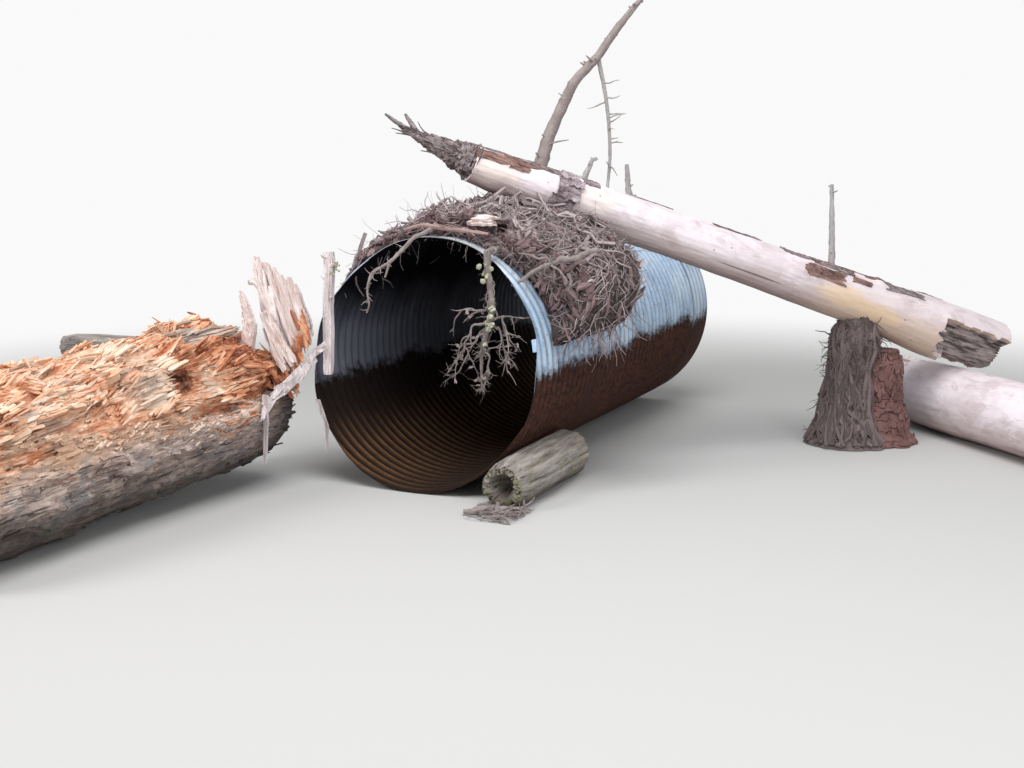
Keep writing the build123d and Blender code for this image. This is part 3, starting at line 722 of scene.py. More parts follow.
OUTLINE = ((0, 0.25, 0.3), (0.12, 0.8, 1), (0.55, 1, 0.85), (0.86, 0.7, 0.9), (1, 0.2, 0.2))


def plate_height(plates, distance, angle, radius, depth):
    """How far the plates stand at a place on a log: 0 beside them."""
    highest = 0.0
    for start, length, degrees, width, twist in plates:
        share = (distance - start) / length + 0.03 * lumpy(angle * 9, start * 9, 1)
        if 0 < share < 1:
            spread, swell = between(OUTLINE, share)
            turn = angle - math.radians(degrees + twist * (share - 0.5))
            turn = math.atan2(math.sin(turn), math.cos(turn))
            ragged = 1 + 0.35 * lumpy(distance * 8, start * 7, math.copysign(3, turn))
            beside = abs(turn) * radius / (width * spread * ragged / 2)
            highest = max(highest, depth * swell * min(1.0, max(1 - beside, 0) / 0.22))
    return highest


def coarse(value, levels):
    """Noise in steps, as wood breaks in layers."""
    return math.floor((value + 1) * levels) / levels - 1


print("plates", len(STRATA), "grooves", len(GROOVES))

# %% A flake of wood
POINTED = ((-1.0, 0.10), (-0.55, 0.75), (0.05, 1.0), (0.6, 0.65), (1.0, 0.08))
BLUNT = ((-1.0, 0.80), (-0.86, 1.0), (0.0, 0.95), (0.84, 0.9), (1.0, 0.62))


def turned(vector, axis, angle):
    return (Matrix.Rotation(angle, 3, axis) @ vector).normalized()


def add_flake(pile, centre, along, outward, length, width, thickness, bend, chance, shape=POINTED):
    """A thin splinter, bent a little, with pointed or blunt ends that break off at a slant. A size
    may be a pair, and is then drawn between the two."""
    length, width, thickness, bend = (chance.uniform(*size) if isinstance(size, tuple) else size
                                      for size in (length, width, thickness, bend))
    side = along.cross(outward).normalized()
    slant = along * (chance.gauss(0, 0.5) * width)
    outline = []
    for share, spread in shape:
        left, right = (side * (spread * chance.uniform(0.6, 1.15) * width / 2) + slant / 2 for _ in range(2))
        outline.append((along * ((share + chance.uniform(-0.08, 0.08)) * length / 2)
                        + outward * (bend * share * share), left, right))
    points = []
    for layer in (0.5, -0.5):
        for reach, left, right in outline:
            base = centre + reach + outward * (layer * thickness)
            points += [base + left, base - right]
    faces = []
    for k in range(4):
        a = 2 * k
        faces.append((a, a + 1, a + 3, a + 2))
        faces.append((a + 12, a + 13, a + 11, a + 10))
        faces.append((a, a + 2, a + 12, a + 10))
        faces.append((a + 3, a + 1, a + 11, a + 13))
    faces.append((1, 0, 10, 11))
    faces.append((8, 9, 19, 18))
    pile.add(points, faces)


print("flake helper ready")

# %% The shell of the left log
SHELL_EDGE = ((0.0, 0.0), (0.35, 0.10), (0.9, 0.20), (1.3, 0.36), (1.6, 0.56), (2.3, 0.60))
BACK_EDGE = 0.50


def shell_edge(distance, back):
    """How high the sound side reaches, as an angle on the log, at its open side or at the back."""
    steps = math.floor(distance * 9 + lumpy(distance * 3, 0, 4) * 2 + (40 if back else 0))
    tooth = lumpy(steps * 7.7, 1.3, 0) * 0.15 + lumpy(distance * 31, 5, 0) * 0.06
    return (BACK_EDGE if back else between(SHELL_EDGE, distance)[0]) + tooth


def shell_relief(distance, angle, radius):
    x, z = math.cos(angle) * radius, math.sin(angle) * radius
    drift = 0.25 * lumpy(distance * 1.4, x * 3, z * 3)
    layer = lumpy(distance * 1.8, x * 4, z * 4)
    ledge = coarse(lumpy(distance * 3.2 + drift, x * 13, z * 13 + 9), 4)
    scale = coarse(lumpy(distance * 9 + drift * 3, x * 27, z * 27 + 4), 3)
    strand = ridged(distance * 5, x * 34, z * 34)
    dash = lumpy(distance * 17, x * 60, z * 60)
    depth = 0.012 * layer + 0.017 * ledge + 0.008 * scale + 0.005 * (strand - 0.5) + 0.0045 * dash
    depth -= plate_height(GROOVES, distance, angle, radius, GROOVE) * 0.85
    back = math.cos(angle) < 0
    lean = math.asin(max(-1.0, min(1.0, math.sin(angle))))
    over = lean - shell_edge(distance, back)
    if over > 0:
        depth -= min(over * 1.1, 0.11)
    return min(depth - 0.008, 0.006)


def torn(seed, depth, hollow=0.0):
    """A torn end: fibres that stand out or break short, and a hollow where the heart is gone."""
    def end(angle, fraction):
        x, y = math.cos(angle) * fraction, math.sin(angle) * fraction
        fibres = lumpy(x * 5 + seed, y * 5, seed) + 0.6 * lumpy(x * 14, y * 14, seed)
        return depth * fibres + hollow * max(0.0, 1 - fraction * 1.35)
    return end


def at_start(end):
    return lambda angle, fraction: abs(end(angle, fraction)) * 0.9 + 0.01


def at_far_end(end):
    return lambda angle, fraction: -(abs(end(angle, fraction)) * 0.9 + 0.01)


shell = Pile()
shell.grid(log_rows(left_line, LEFT_STATIONS, shell_relief, 204, 0.012,
                    at_start(torn(3, 0.05, 0.1)), at_far_end(torn(8, 0.05))))
shell.piece("weathered_shell", left_side, "weathered_wood", ("left_wing_log",))

# %% Slivers of fibre on the side of the left log
def shell_point(distance, angle):
    radius, drift, rise = between(LEFT_STATIONS, distance)
    size = radius + shell_relief(distance, angle, radius)
    return left_line.point(distance, angle, size, rise) + left_line.across * drift


sliver_finish = wood("side_slivers", left_line.along,
                     **{**LOG_SIDE, "islands": 0.8, "pale": (0.80, 0.64, 0.54)})
chance = random.Random(12)
slivers = Pile()
for number in range(1100):
    distance = chance.uniform(0.10, 2.16)
    in_front = chance.random() < 0.72
    edge = shell_edge(distance, not in_front)
    angle = edge + 0.05 - abs(chance.gauss(0, 0.6))
    angle = angle if in_front else math.pi - angle
    spot = shell_point(distance, angle)
    if spot.z < 0.02:
        continue
    outward = left_line.outward(angle)
    along = turned(left_line.along, outward, chance.gauss(0, 0.10))
    along = turned(along, along.cross(outward), chance.gauss(0, 0.06))
    long = number % 4 == 0
    add_flake(slivers, spot + outward * 0.001, along, turned(outward, along, chance.gauss(0, 0.4)),
              chance.uniform(0.08, 0.20) if long else chance.uniform(0.025, 0.09),
              chance.uniform(0.005, 0.014) if long else chance.uniform(0.010, 0.030), (0.003, 0.008),
              (-0.004, 0.004), chance, POINTED if long else BLUNT)
slivers.piece("side_slivers", sliver_finish, "weathered_wood", smooth=False)

# %% [markdown]
# The heartwood rots along its rings and rays, so it breaks into long flakes that lie with the grain. The
# heap below them is one body with a stepped, layered surface and cavities where pieces fell out; painted
# shade darkens its crevices and its deepest cavity.
# The flakes themselves are real pieces of wood, a few thousand, each a thin splinter.
# Each mesh island gets its own tone, which is what makes the heap read as loose flakes.

# %% The heartwood finishes
DEEP = (0.17, 0.045, 0.018)
RAW_STOPS = ((0.08, (0.20, 0.052, 0.022)), (0.26, (0.50, 0.165, 0.070)), (0.46, (0.70, 0.33, 0.18)),
             (0.68, (0.82, 0.54, 0.37)), (0.96, (0.90, 0.76, 0.63)))


def heartwood_finish(name, islands):
    f = Finish(name)
    place = f.place()
    broad = f.noise(place, 5, 4, 0.6)
    strands = f.noise(f.along(left_line.along, 7), 42, 6, 0.72, 0.2)
    threads = f.noise(f.along(left_line.along, 9), 190, 3, 0.7)
    # The loose end by the mouth is redder, the old near part paler
    nearer = place.dot(left_line.along) + (broad - 0.5) * 0.5
    older = nearer.ramp(left_begin + 0.25, left_begin + 0.95) * 0.28 - 0.12
    if islands:
        tone = (f.add("NewGeometry", output="Random Per Island") * 0.44 + strands * 0.35
                + (broad - 0.5) * 1.3 + older + 0.16)
    else:
        tone = strands.ramp(0.30, 0.72) * 0.75 + (broad - 0.5) * 0.8 + 0.05 + older
    colour = f.add("ValToRGB", {"stops": RAW_STOPS}, {"Fac": tone.clamp()})
    colour = f.blend((threads.ramp(0.50, 0.72) * 0.45).clamp(), colour, (0.82, 0.60, 0.44))
    colour = f.blend(((1 - threads.ramp(0.28, 0.46)) * 0.55).clamp(), colour, DEEP)
    aged = f.noise(place, 2.4, 4, 0.6).ramp(0.55, 0.70)
    colour = f.blend((aged * 0.45).clamp(), colour, (0.60, 0.50, 0.44))
    if not islands:
        # Painted shade in the crevices of the heartwood
        hollow = 1 - f.noise(f.along(left_line.along, 4), 17, 4, 0.62).ramp(0.32, 0.46)
        colour = f.blend((hollow * 0.9).clamp(), colour, (0.075, 0.024, 0.012))
        # Painted shade: the deepest cavity is painted near-black
        dark = f.near(left_line.along, 1.4, [left_line.point(0.745, 0.50, 0.23, 0.105)], 0.072, 0.06)
        colour = f.blend((dark * 0.95).clamp(), colour, (0.020, 0.008, 0.006))
    f.set("Base Color", colour)
    f.set("Roughness", 0.9)
    f.relief(strands * 0.7 + threads * 0.3, 0.004)
    return f


heap_finish = heartwood_finish("rotten_heartwood", False)
flake_finish = heartwood_finish("heartwood_flakes", True)

# %% The heap of heartwood
# Distance, angle, half length, half angle and depth of the dark holes
CAVITIES = ((0.745, 0.50, 0.065, 0.26, 0.150), (0.10, 1.00, 0.070, 0.34, 0.100),
            (0.26, 1.12, 0.13, 0.30, 0.085), (0.47, 1.28, 0.14, 0.26, 0.070),
            (0.93, 0.85, 0.07, 0.14, 0.035), (1.42, 1.20, 0.09, 0.20, 0.04))


def heap_relief(distance, angle):
    x, z = math.cos(angle) * 0.3, math.sin(angle) * 0.3
    fan = distance + 0.5 * lumpy(distance * 1.3, x * 3, z * 3 + 5)
    ledge = coarse(lumpy(fan * 1.6, x * 9, z * 9), 5)
    step = coarse(lumpy(fan * 4.5, x * 22, z * 22 + 3), 4)
    strand = ridged(fan * 3.2, x * 40 + distance * 2, z * 40)
    crumbs = lumpy(distance * 17, x * 75, z * 75)
    depth = 0.030 * ledge + 0.014 * step + 0.011 * (strand - 0.5) + 0.006 * crumbs
    depth += plate_height(STRATA, distance, angle, 0.3, STRATUM) * 0.9
    depth -= 0.030 * (1 - min(max((distance - 0.55) / 0.4, 0), 1))
    depth -= 0.045 * math.exp(-((distance - 0.25) / 0.22) ** 2 - ((angle - 1.75) / 0.35) ** 2)
    for where, side, half_length, half_angle, deep in CAVITIES:
        away = ((distance - where) / half_length) ** 2 + ((angle - side) / half_angle) ** 2
        depth -= deep * math.exp(-away * away)
    return min(depth - 0.016, STRATUM * 0.9)


def hollowness(distance, angle):
    """Nearness to the middle of a dark hole: over 1 is outside."""
    return min(((distance - where) / half_length) ** 2 + ((angle - side) / half_angle) ** 2
               for where, side, half_length, half_angle, _ in CAVITIES[:3])


def heap_point(distance, angle):
    radius, drift, rise, crown = between(ROT_STATIONS, distance)
    size = radius + heap_relief(distance, angle)
    height = math.sin(angle) * size * (crown if math.sin(angle) > 0 else 1)
    return (left_line.start + left_line.along * distance + left_line.across * (math.cos(angle) * size + drift)
            + left_line.upward * (height + rise))


def heap_rows(around=172, step=0.015):
    start, stop = 0.03, left_line.length - 0.045
    count = int((stop - start) / step)
    fractions = (0.0, 0.3, 0.6, 0.85)
    path = [(start, fraction) for fraction in fractions]
    path += [(start + (stop - start) * i / count, 1.0) for i in range(count + 1)]
    path += [(stop, fraction) for fraction in reversed(fractions)]
    rows = []
    for distance, fraction in path:
        centre = left_line.start + left_line.along * distance + left_line.upward * HEART_RISE
        uneven = 0.03 * lumpy(fraction * 3, distance, 2)
        row = []
        for i in range(around):
            share = i / around
            # Most of the points go to the upper half, which shows
            angle = 2 * math.pi * share - 0.55 * math.cos(2 * math.pi * share) + 0.55
            row.append(centre + (heap_point(distance, angle) - centre) * fraction
                       + left_line.along * uneven * (1 - fraction))
        rows.append(row)
    return rows


heap = Pile()
heap.grid(heap_rows())
heap.piece("heartwood_heap", heap_finish, "rotten_wood", ("left_heartwood",))

# %% [markdown]
# A flake is a thin splinter, slightly bent, with pointed or blunt ends that break off at a slant. Most
# lie in bundles, side by side at one tilt, as a layer of wood comes apart. Loose ones fill the rest, and
# the last of them have slid down on to the sound side. Both keep away from the dark cavities.

# %% Flakes on the heartwood
def heap_frame(distance, angle):
    centre = heap_point(distance, angle)
    ahead = heap_point(distance + 0.02, angle)
    aside = heap_point(distance, angle + 0.06)
    along = (ahead - centre).normalized()
    outward = along.cross((aside - centre).normalized()).normalized()
    middle = left_line.start + left_line.along * distance + left_line.upward * 0.05
    return centre, along, outward if outward.dot(centre - middle) > 0 else -outward


def heap_flow(distance, angle):
    """How far the grain has slewed from the log's direction, in radians."""
    return 0.34 * lumpy(distance * 2.1, angle * 1.6, 6) + 0.06


chance = random.Random(31)
flakes = Pile()


def add_bundle(pile, distance, angle, count, chance):
    """Splinters side by side at one tilt, as a layer of wood comes apart."""
    centre, along, outward = heap_frame(distance, angle)
    along = turned(along, outward, heap_flow(distance, angle) + chance.gauss(0, 0.13))
    side = along.cross(outward).normalized()
    tilt = abs(chance.gauss(0.03, 0.07)) if chance.random() < 0.95 else chance.uniform(0.2, 0.4)
    along, outward = turned(along, side, -tilt), turned(outward, side, -tilt)
    outward = turned(outward, along, chance.gauss(0, 0.25))
    side = along.cross(outward).normalized()
    length, width = chance.uniform(0.05, 0.17), chance.uniform(0.009, 0.020)
    for k in range(count):
        spot = (centre + side * ((k - count / 2) * width * 0.9) + along * chance.gauss(0, 0.018)
                + outward * chance.gauss(0.001, 0.002))
        add_flake(pile, spot, turned(along, outward, chance.gauss(0, 0.03)), outward,
                  length * chance.uniform(0.6, 1.1), width * chance.uniform(0.8, 1.3),
                  chance.uniform(0.004, 0.011), chance.uniform(-0.006, 0.003), chance,
                  POINTED if chance.random() < 0.5 else BLUNT)


for number in range(620):
    distance = chance.uniform(0.09, 2.10)
    angle = chance.uniform(shell_edge(distance, False) - 0.04, math.pi - 0.22)
    if hollowness(distance, angle) > 2.7:
        add_bundle(flakes, distance, angle, chance.randrange(3, 8), chance)
for number in range(1800):
    distance = chance.uniform(0.07, 2.16)
    edge = shell_edge(distance, False)
    spilled = number > 1500
    angle = (edge + 0.05 - abs(chance.gauss(0, 0.13)) if spilled
             else chance.uniform(edge - 0.08, math.pi - 0.20))
    if hollowness(distance, angle) < 1.8 or (spilled and distance < 0.35):
        continue
    centre, along, outward = heap_frame(distance, angle)
    if spilled:
        # Crumbs that have slid down on to the sound side
        centre = shell_point(distance, angle)
        outward = left_line.outward(angle)
    along = turned(along, outward, heap_flow(distance, angle) + chance.gauss(0, 0.14))
    if number % 2 and not spilled:
        sizes, shape = ((0.05, 0.16), (0.005, 0.012), (0.003, 0.006)), POINTED
    else:
        sizes, shape = ((0.012, 0.055), (0.005, 0.016), (0.004, 0.010)), BLUNT
    length, width, thickness = (chance.uniform(*size) for size in sizes)
    outward = turned(outward, along, chance.gauss(0, 0.35))
    add_flake(flakes, centre + outward * chance.uniform(-0.003, 0.006), along, outward, length, width,
              thickness, (-0.006, 0.004), chance, shape)
for number in range(110):
    # Loose wood that fills the break under the standing slabs
    share = chance.random()
    spot = at(-0.655 - 0.17 * share + 0.012 * chance.gauss(0, 1), chance.uniform(-0.215, -0.095),
              0.500 + 0.085 * share + 0.025 * chance.gauss(0, 1))
    along = stray(chance, (-0.45, 0.3), (0.15, 0.3), (0.8, 0.3)).normalized()
    outward = square(Vector((chance.gauss(0.5, 0.3), -0.8, 0.4)), along)
    add_flake(flakes, spot, along, outward, (0.04, 0.14), (0.010, 0.028), (0.004, 0.010),
              (-0.008, 0.004), chance, BLUNT if number % 3 else POINTED)
for number in range(60):
    # Rotten wood that still clings to the lower part of the largest slab
    rise = 0.15 + 0.27 * chance.random() ** 1.3
    edge = 0.028 + 0.47 * (rise - 0.175) if rise < 0.345 else 0.108 - 0.51 * (rise - 0.345)
    spot = at(NEAR + edge - 0.012 - 0.085 * chance.random() ** 1.5, -0.150 + chance.gauss(0, 0.002),
              FAR + rise)
    along = Vector((-0.32 + chance.gauss(0, 0.12), 0, 0.95)).normalized()
    outward = square(Vector((chance.gauss(0, 0.3), -1, 0)), along)
    add_flake(flakes, spot, along, outward, (0.03, 0.11), (0.008, 0.022), (0.003, 0.007),
              (-0.003, 0.005), chance, BLUNT if number % 2 else POINTED)
flakes.piece("heartwood_flakes", flake_finish, "rotten_wood", smooth=False)

# %% [markdown]
# Along the back of the log, and here and there on its top, long grey slats of the old outer wood are left.
# They are longer and straighter than the flakes, and they keep the weathered colour.

# %% Long slats left on the log
slat_finish = wood("pale_slats", left_line.along, (0.66, 0.53, 0.45), (0.36, 0.25, 0.20),
                   (0.07, 0.045, 0.035), 0.002, (0.55, 0.52, 0.50), (0.5, 0.7), 0.8, None, 40, 12)
slats = Pile()
for number in range(200):
    # A bundle near the splinters, a rim along the back, and some anywhere
    if number < 60:
        distance, angle, size = chance.gauss(0.42, 0.10), chance.gauss(1.42, 0.14), (0.12, 0.34)
    elif number < 170:
        distance, angle, size = chance.uniform(0.32, 2.0), chance.uniform(1.95, 2.6), (0.2, 0.6)
    else:
        distance, angle, size = chance.uniform(0.15, 2.1), chance.uniform(0.35, 2.2), (0.08, 0.26)
    length = chance.uniform(*size)
    centre, along, outward = heap_frame(distance, angle)
    along = turned(left_line.along, outward, heap_flow(distance, angle) * 0.5 + chance.gauss(0, 0.07))
    outward = square(outward, along)
    add_flake(slats, centre + outward * 0.012, along, outward, length, (0.009, 0.024),
              (0.004, 0.012), (-0.012, 0.0), chance)
slats.piece("weathered_slats", slat_finish, "pale_wood", smooth=False)

# %% [markdown]
# ## Splinters, stake and strips
# Where the left log broke, slabs of sound wood still stand. A slab is made of strips side by side along its
# grain. Each strip is cut off by the slab's outline, which comes from the solid, and stands a little more or
# less forward, by chance.

# %% Splinters that stand on the left log
pale_splinter = wood("split_wood", (0.34, 0.0, -0.94), (0.90, 0.81, 0.81), (0.60, 0.47, 0.43),
                     (0.16, 0.095, 0.075), 0.003, (0.66, 0.38, 0.26), (0.58, 0.68), 0.75, None, 30, 9, None,
                     0.35)


def pick(line, share):
    """A point at a share of a line of points."""
    spot = min(max(share, 0.0), 1.0) * (len(line) - 1)
    k = min(int(spot), len(line) - 2)
    return line[k] + (line[k + 1] - line[k]) * (spot - k)


def crossing_span(outline, grain, offset):
    """Where a line along the grain, at an offset to its right, enters and leaves an outline."""
    aside = Vector((grain.y, -grain.x))
    found = []
    for a, b in zip(outline, outline[1:] + outline[:1]):
        u, v = a.dot(aside) - offset, b.dot(aside) - offset
        if (u < 0) != (v < 0):
            found.append(a.lerp(b, u / (u - v)).dot(grain))
    return (min(found), max(found)) if len(found) > 1 else (0.0, 0.0)


def add_board(pile, outline, root, top, front, thickness, strips, seed, depth=0.010, ragged=0.03):
    """A split board as strips side by side along its grain, each cut off by the outline."""
    chance = random.Random(seed)
    outline = [Vector((NEAR + x / 1000, FAR + z / 1000)) for x, z in outline]
    grain = (Vector(top) - Vector(root)).normalized()
    aside = Vector((grain.y, -grain.x))
    offsets = [p.dot(aside) for p in outline]
    cuts = [0.0]
    for _ in range(strips):
        cuts.append(cuts[-1] + chance.uniform(0.4, 1.6))
    cuts = [min(offsets) + (max(offsets) - min(offsets)) * cut / cuts[-1] for cut in cuts]
    for near, far in zip(cuts, cuts[1:]):
        low, high = crossing_span(outline, grain, (near + far) / 2)
        high -= abs(chance.gauss(0, ragged))
        low += abs(chance.gauss(0, ragged))
        if high - low < 0.05:
            continue
        half, y = (far - near) / 2 + 0.0015, front + min(abs(chance.gauss(0, depth)), thickness * 0.6)
        back = min(y + thickness * chance.uniform(0.5, 0.8), front + thickness)
        bow, phase = chance.gauss(0, 0.003), chance.uniform(0, 50)
        rows = []
        for r in range(21):
            share = r / 20
            narrow = (min(1.0, 0.15 + (1 - share) * (high - low) / 0.06)
                      * min(1.0, 0.4 + share * (high - low) / 0.03))
            sway = bow * math.sin(share * math.pi) + 0.0025 * lumpy(share * 6, phase, 3)
            step = 0.0022 * math.floor(3 * lumpy(share * 3.5, phase, 7))
            middle = grain * (low + (high - low) * share) + aside * ((near + far) / 2 + sway)
            a, b = middle - aside * half * narrow, middle + aside * half * narrow
            rows.append([at(a.x, y + step, a.y), at(b.x, y + step + 0.002, b.y),
                         at(b.x, back, b.y), at(a.x, back, a.y)])
        pile.bar(rows)


# Outlines in millimetres from the log's near side and its axis height, as on the solids
LARGE = [(-257, 715), (-202, 700), (-17, 590), (108, 345), (28, 175), (-132, 135), (-167, 425)]
NARROW = [(-197, 465), (-142, 445), (28, 195), (-22, 115), (-92, 155)]
FORK_LOW = [(-170, 398), (-162, 365), (-202, 195), (-272, 135), (-232, 380)]
FORK_TOP = [(-262, 545), (-217, 515), (-162, 375), (-178, 335), (-222, 345)]
chance = random.Random(44)
large = Pile()
add_board(large, LARGE, (-40, 150), (-225, 700), -0.146, 0.044, 17, 3)
add_board(large, [(-240, 660), (-170, 640), (-90, 400), (-110, 200), (-150, 200)],
          (-120, 150), (-225, 700), -0.150, 0.020, 5, 8, 0.003, 0.05)
add_twig(large, [at(NEAR - 0.20, -0.125, FAR + 0.54), at(NEAR - 0.238, -0.135, FAR + 0.572),
                 at(NEAR - 0.268, -0.14, FAR + 0.566)], [0.020, 0.021, 0.010], 7, 3, 0.3, 2.0)
large.piece("standing_slab", pale_splinter, "pale_wood", ("large_splinter",), smooth=False)
narrow = Pile()
add_board(narrow, NARROW, (0, 150), (-170, 455), -0.202, 0.045, 10, 6)
narrow.piece("second_slab", pale_splinter, "pale_wood", ("narrow_splinter",), smooth=False)
forked = Pile()
add_board(forked, FORK_LOW, (-237, 165), (-195, 370), -0.258, 0.042, 5, 11, 0.006, 0.004)
add_board(forked, FORK_TOP, (-195, 370), (-240, 530), -0.256, 0.040, 5, 12, 0.006, 0.008)
forked.piece("forked_slab", pale_splinter, "pale_wood", ("forked_splinter",), smooth=False)

# %% [markdown]
# The stake that leans on the rim was split from a knotty log and still has knobs, a lichened twig and flat
# sides. Two strips of the shell hang from the torn rim, straight down.

# %% Stake, torn rim and hanging strips
stake_finish = wood("stake_wood", (0.1, 0.0, -1.0), (0.78, 0.70, 0.71), (0.52, 0.44, 0.44),
                    (0.20, 0.14, 0.12), 0.003, (0.48, 0.45, 0.38), (0.58, 0.7), 0.78, None, 34, 12)
rim_x = -BORE_RADIUS * 0.9
rim_z = CREST + math.sqrt(BORE_RADIUS ** 2 - rim_x ** 2)
rim_y = (rim_z - CREST) * LEAN - 0.015
stake = Pile()
STAKE_LEFT = [Vector((rim_x + x, 0, rim_z + z)) for x, z in (
    (0.018, -0.335), (-0.002, -0.17), (-0.024, 0), (-0.027, 0.16), (-0.032, 0.262))]
STAKE_RIGHT = [Vector((rim_x + x, 0, rim_z + z)) for x, z in (
    (0.058, -0.335), (0.045, -0.17), (0.021, 0), (0.022, 0.16), (0.013, 0.266))]
for left, right, shift in ((0.0, 0.42, 0.004), (0.34, 0.78, 0.0), (0.66, 1.0, 0.008)):
    rows = []
    for r in range(31):
        share = r / 30
        a, b = pick(STAKE_LEFT, share), pick(STAKE_RIGHT, share)
        if share < 0.56:
            y = rim_y - 0.085 * (1 - share / 0.56)
        else:
            y = rim_y - 0.004 + 0.034 * (share - 0.56) / 0.44
        y += shift + 0.003 * lumpy(share * 7, left * 9, 2)
        narrow = min(1.0, 0.25 + 9 * (1 - share)) * min(1.0, 0.5 + share * (14 + 20 * left))
        p, q = a + (b - a) * left, a + (b - a) * right
        middle = (p + q) / 2
        p, q = middle + (p - middle) * narrow, middle + (q - middle) * narrow
        rows.append([at(p.x, y - 0.014, p.z), at(q.x, y - 0.016, q.z),
                     at(q.x + 0.002, y + 0.012, q.z), at(p.x, y + 0.012, p.z)])
    stake.bar(rows)
for height, lean_x, size in ((0.235, -0.035, 0.015), (0.19, 0.036, 0.010), (0.13, -0.030, 0.012),
                             (0.03, 0.026, 0.011), (-0.12, -0.02, 0.010)):
    base = at(rim_x - 0.004 + max(-height, 0) * 0.15, rim_y + 0.02 * height * 5, rim_z + height)
    add_twig(stake, [base, base + Vector((lean_x * 0.7, -0.01, 0.008)),
                     base + Vector((lean_x, -0.014, 0.02))], [size, size * 0.9, size * 0.5], 7, 3, 0.25,
                     height * 30)
stake.piece("stake", stake_finish, "pale_wood", ("leaning_stake",))

rim_strip = Pile()
RIM_LINE = [at(rim_x + 0.010, rim_y - 0.040, rim_z - 0.170), at(NEAR + 0.046, -0.130, FAR + 0.180),
            at(NEAR + 0.026, -0.180, FAR + 0.125), at(NEAR - 0.012, -0.270, FAR + 0.075),
            at(NEAR - 0.018, -0.380, FAR + 0.020), at(NEAR - 0.018, -0.450, FAR - 0.050)]
for number in range(26):
    # Torn plates in a row along the rim, standing against the log and leaning out
    share = (number + 0.5) / 26 * 0.96
    centre = pick(RIM_LINE, share)
    ahead = (pick(RIM_LINE, min(share + 0.05, 1)) - pick(RIM_LINE, max(share - 0.05, 0))).normalized()
    swell = 0.45 + 0.55 * math.sin(math.pi * min(max(share * 1.1, 0.02), 0.98))
    outward = Vector((0.75, -0.7, chance.gauss(0.2, 0.16))).normalized()
    ahead = turned(ahead, outward, chance.gauss(0, 0.08))
    outward = square(outward, ahead)
    add_flake(rim_strip, centre + Vector((0.008, 0, chance.gauss(0, 0.008)))
              + outward * chance.uniform(-0.004, 0.010), ahead, outward, chance.uniform(0.12, 0.20) * swell,
              chance.uniform(0.030, 0.062) * swell, (0.006, 0.011), (-0.016, -0.004), chance,
              BLUNT if number % 3 else POINTED)
rim_strip.piece("torn_shell_rim", stake_finish, "pale_wood", ("left_shell_rim",), smooth=False)


def add_hanging(pile, points, width, thickness, chance):
    """A strip of bark fibre that hangs: three flat strands side by side."""
    for left, right in ((-1.0, -0.2), (-0.4, 0.45), (0.3, 1.0)):
        rows = []
        stop = chance.uniform(0.86, 1.0)
        for r in range(21):
            share = r / 20
            spot = pick(points, share * stop)
            wide = width * (1 - 0.55 * share) * (1 + 0.3 * lumpy(share * 5, left, 6))
            a, b = spot + Vector((wide * left, 0, 0)), spot + Vector((wide * right, -0.003 * (left + 1), 0))
            rows.append([a, b, b + Vector((0, thickness, 0)), a + Vector((0, thickness, 0))])
        pile.bar(rows)


strips = Pile()
add_hanging(strips, [at(NEAR - 0.014, -0.404, FAR + 0.06), at(NEAR - 0.006, -0.418, FAR - 0.03),
                     at(NEAR - 0.004, -0.420, FAR - 0.11), at(NEAR - 0.016, -0.424, FAR - 0.293)], 0.017,
                     0.014, chance)
strips.piece("hanging_strip_a", stake_finish, "weathered_wood", ("hanging_strip_left",))
strips = Pile()
top, middle = around_pipe(200, 0.6065, -0.012), around_pipe(213, 0.6065, -0.012)
add_hanging(strips, [top, middle, middle + Vector((0.004, -0.010, -0.070)),
                     middle + Vector((0.009, -0.018, -0.148))], 0.014, 0.012, chance)
strips.piece("hanging_strip_b", stake_finish, "weathered_wood", ("hanging_strip_right",))

# %% [markdown]
# Behind the rotten log lies a thinner one, grey and dry, held up by its own broken stub.

# %% The log behind
rear_finish = wood("grey_log", (1, 0.2, 0), (0.33, 0.30, 0.28), (0.10, 0.085, 0.078), (0.03, 0.024, 0.022),
                   0.004, (0.24, 0.24, 0.18), (0.5, 0.7), 0.88)
rear = Pile()
rear_line = LogLine(at(LOG_X - 0.25 - 0.76, -0.27, FAR + 0.205), at(LOG_X - 0.15, -0.12, FAR + 0.185))
rear.grid(log_rows(rear_line, [(0, 0.050, 0, 0), (0.09, 0.062, 0, 0.006),
                               (0.4, 0.058, 0, 0.010), (0.85, 0.056, 0, 0)],
                   lambda d, a, r: 0.007 * lumpy(d * 4, math.cos(a) * 2, math.sin(a) * 2)
                   - 0.006 * max(ridged(d * 2, math.cos(a) * 3, math.sin(a) * 3) - 0.5, 0),
                   40, 0.014, at_start(torn(5, 0.02)), at_far_end(torn(6, 0.02))))
foot = rear_line.start
add_twig(rear, [foot + Vector((0.06, 0, -0.01)), at(foot.x - axis_x + 0.03, foot.y - mouth_y, 0.31),
                at(foot.x - axis_x + 0.012, foot.y - mouth_y - 0.02, 0.004)], [0.043, 0.038, 0.040], 14, 10,
                0.14, 9.0)
rear.piece("log_behind", rear_finish, "weathered_wood", ("rear_left_log",))

# %% [markdown]
# ## The header log
# A fallen trunk lies over the crown. Its bark is mostly gone, so it is smooth and silvery with a warm tone
# below that turns to painted shade underneath, long hairline cracks, beetle holes, and patches where a fresh
# break shows paler or ochre. Its butt is hollow and split, and the hollow is painted dark as shade.

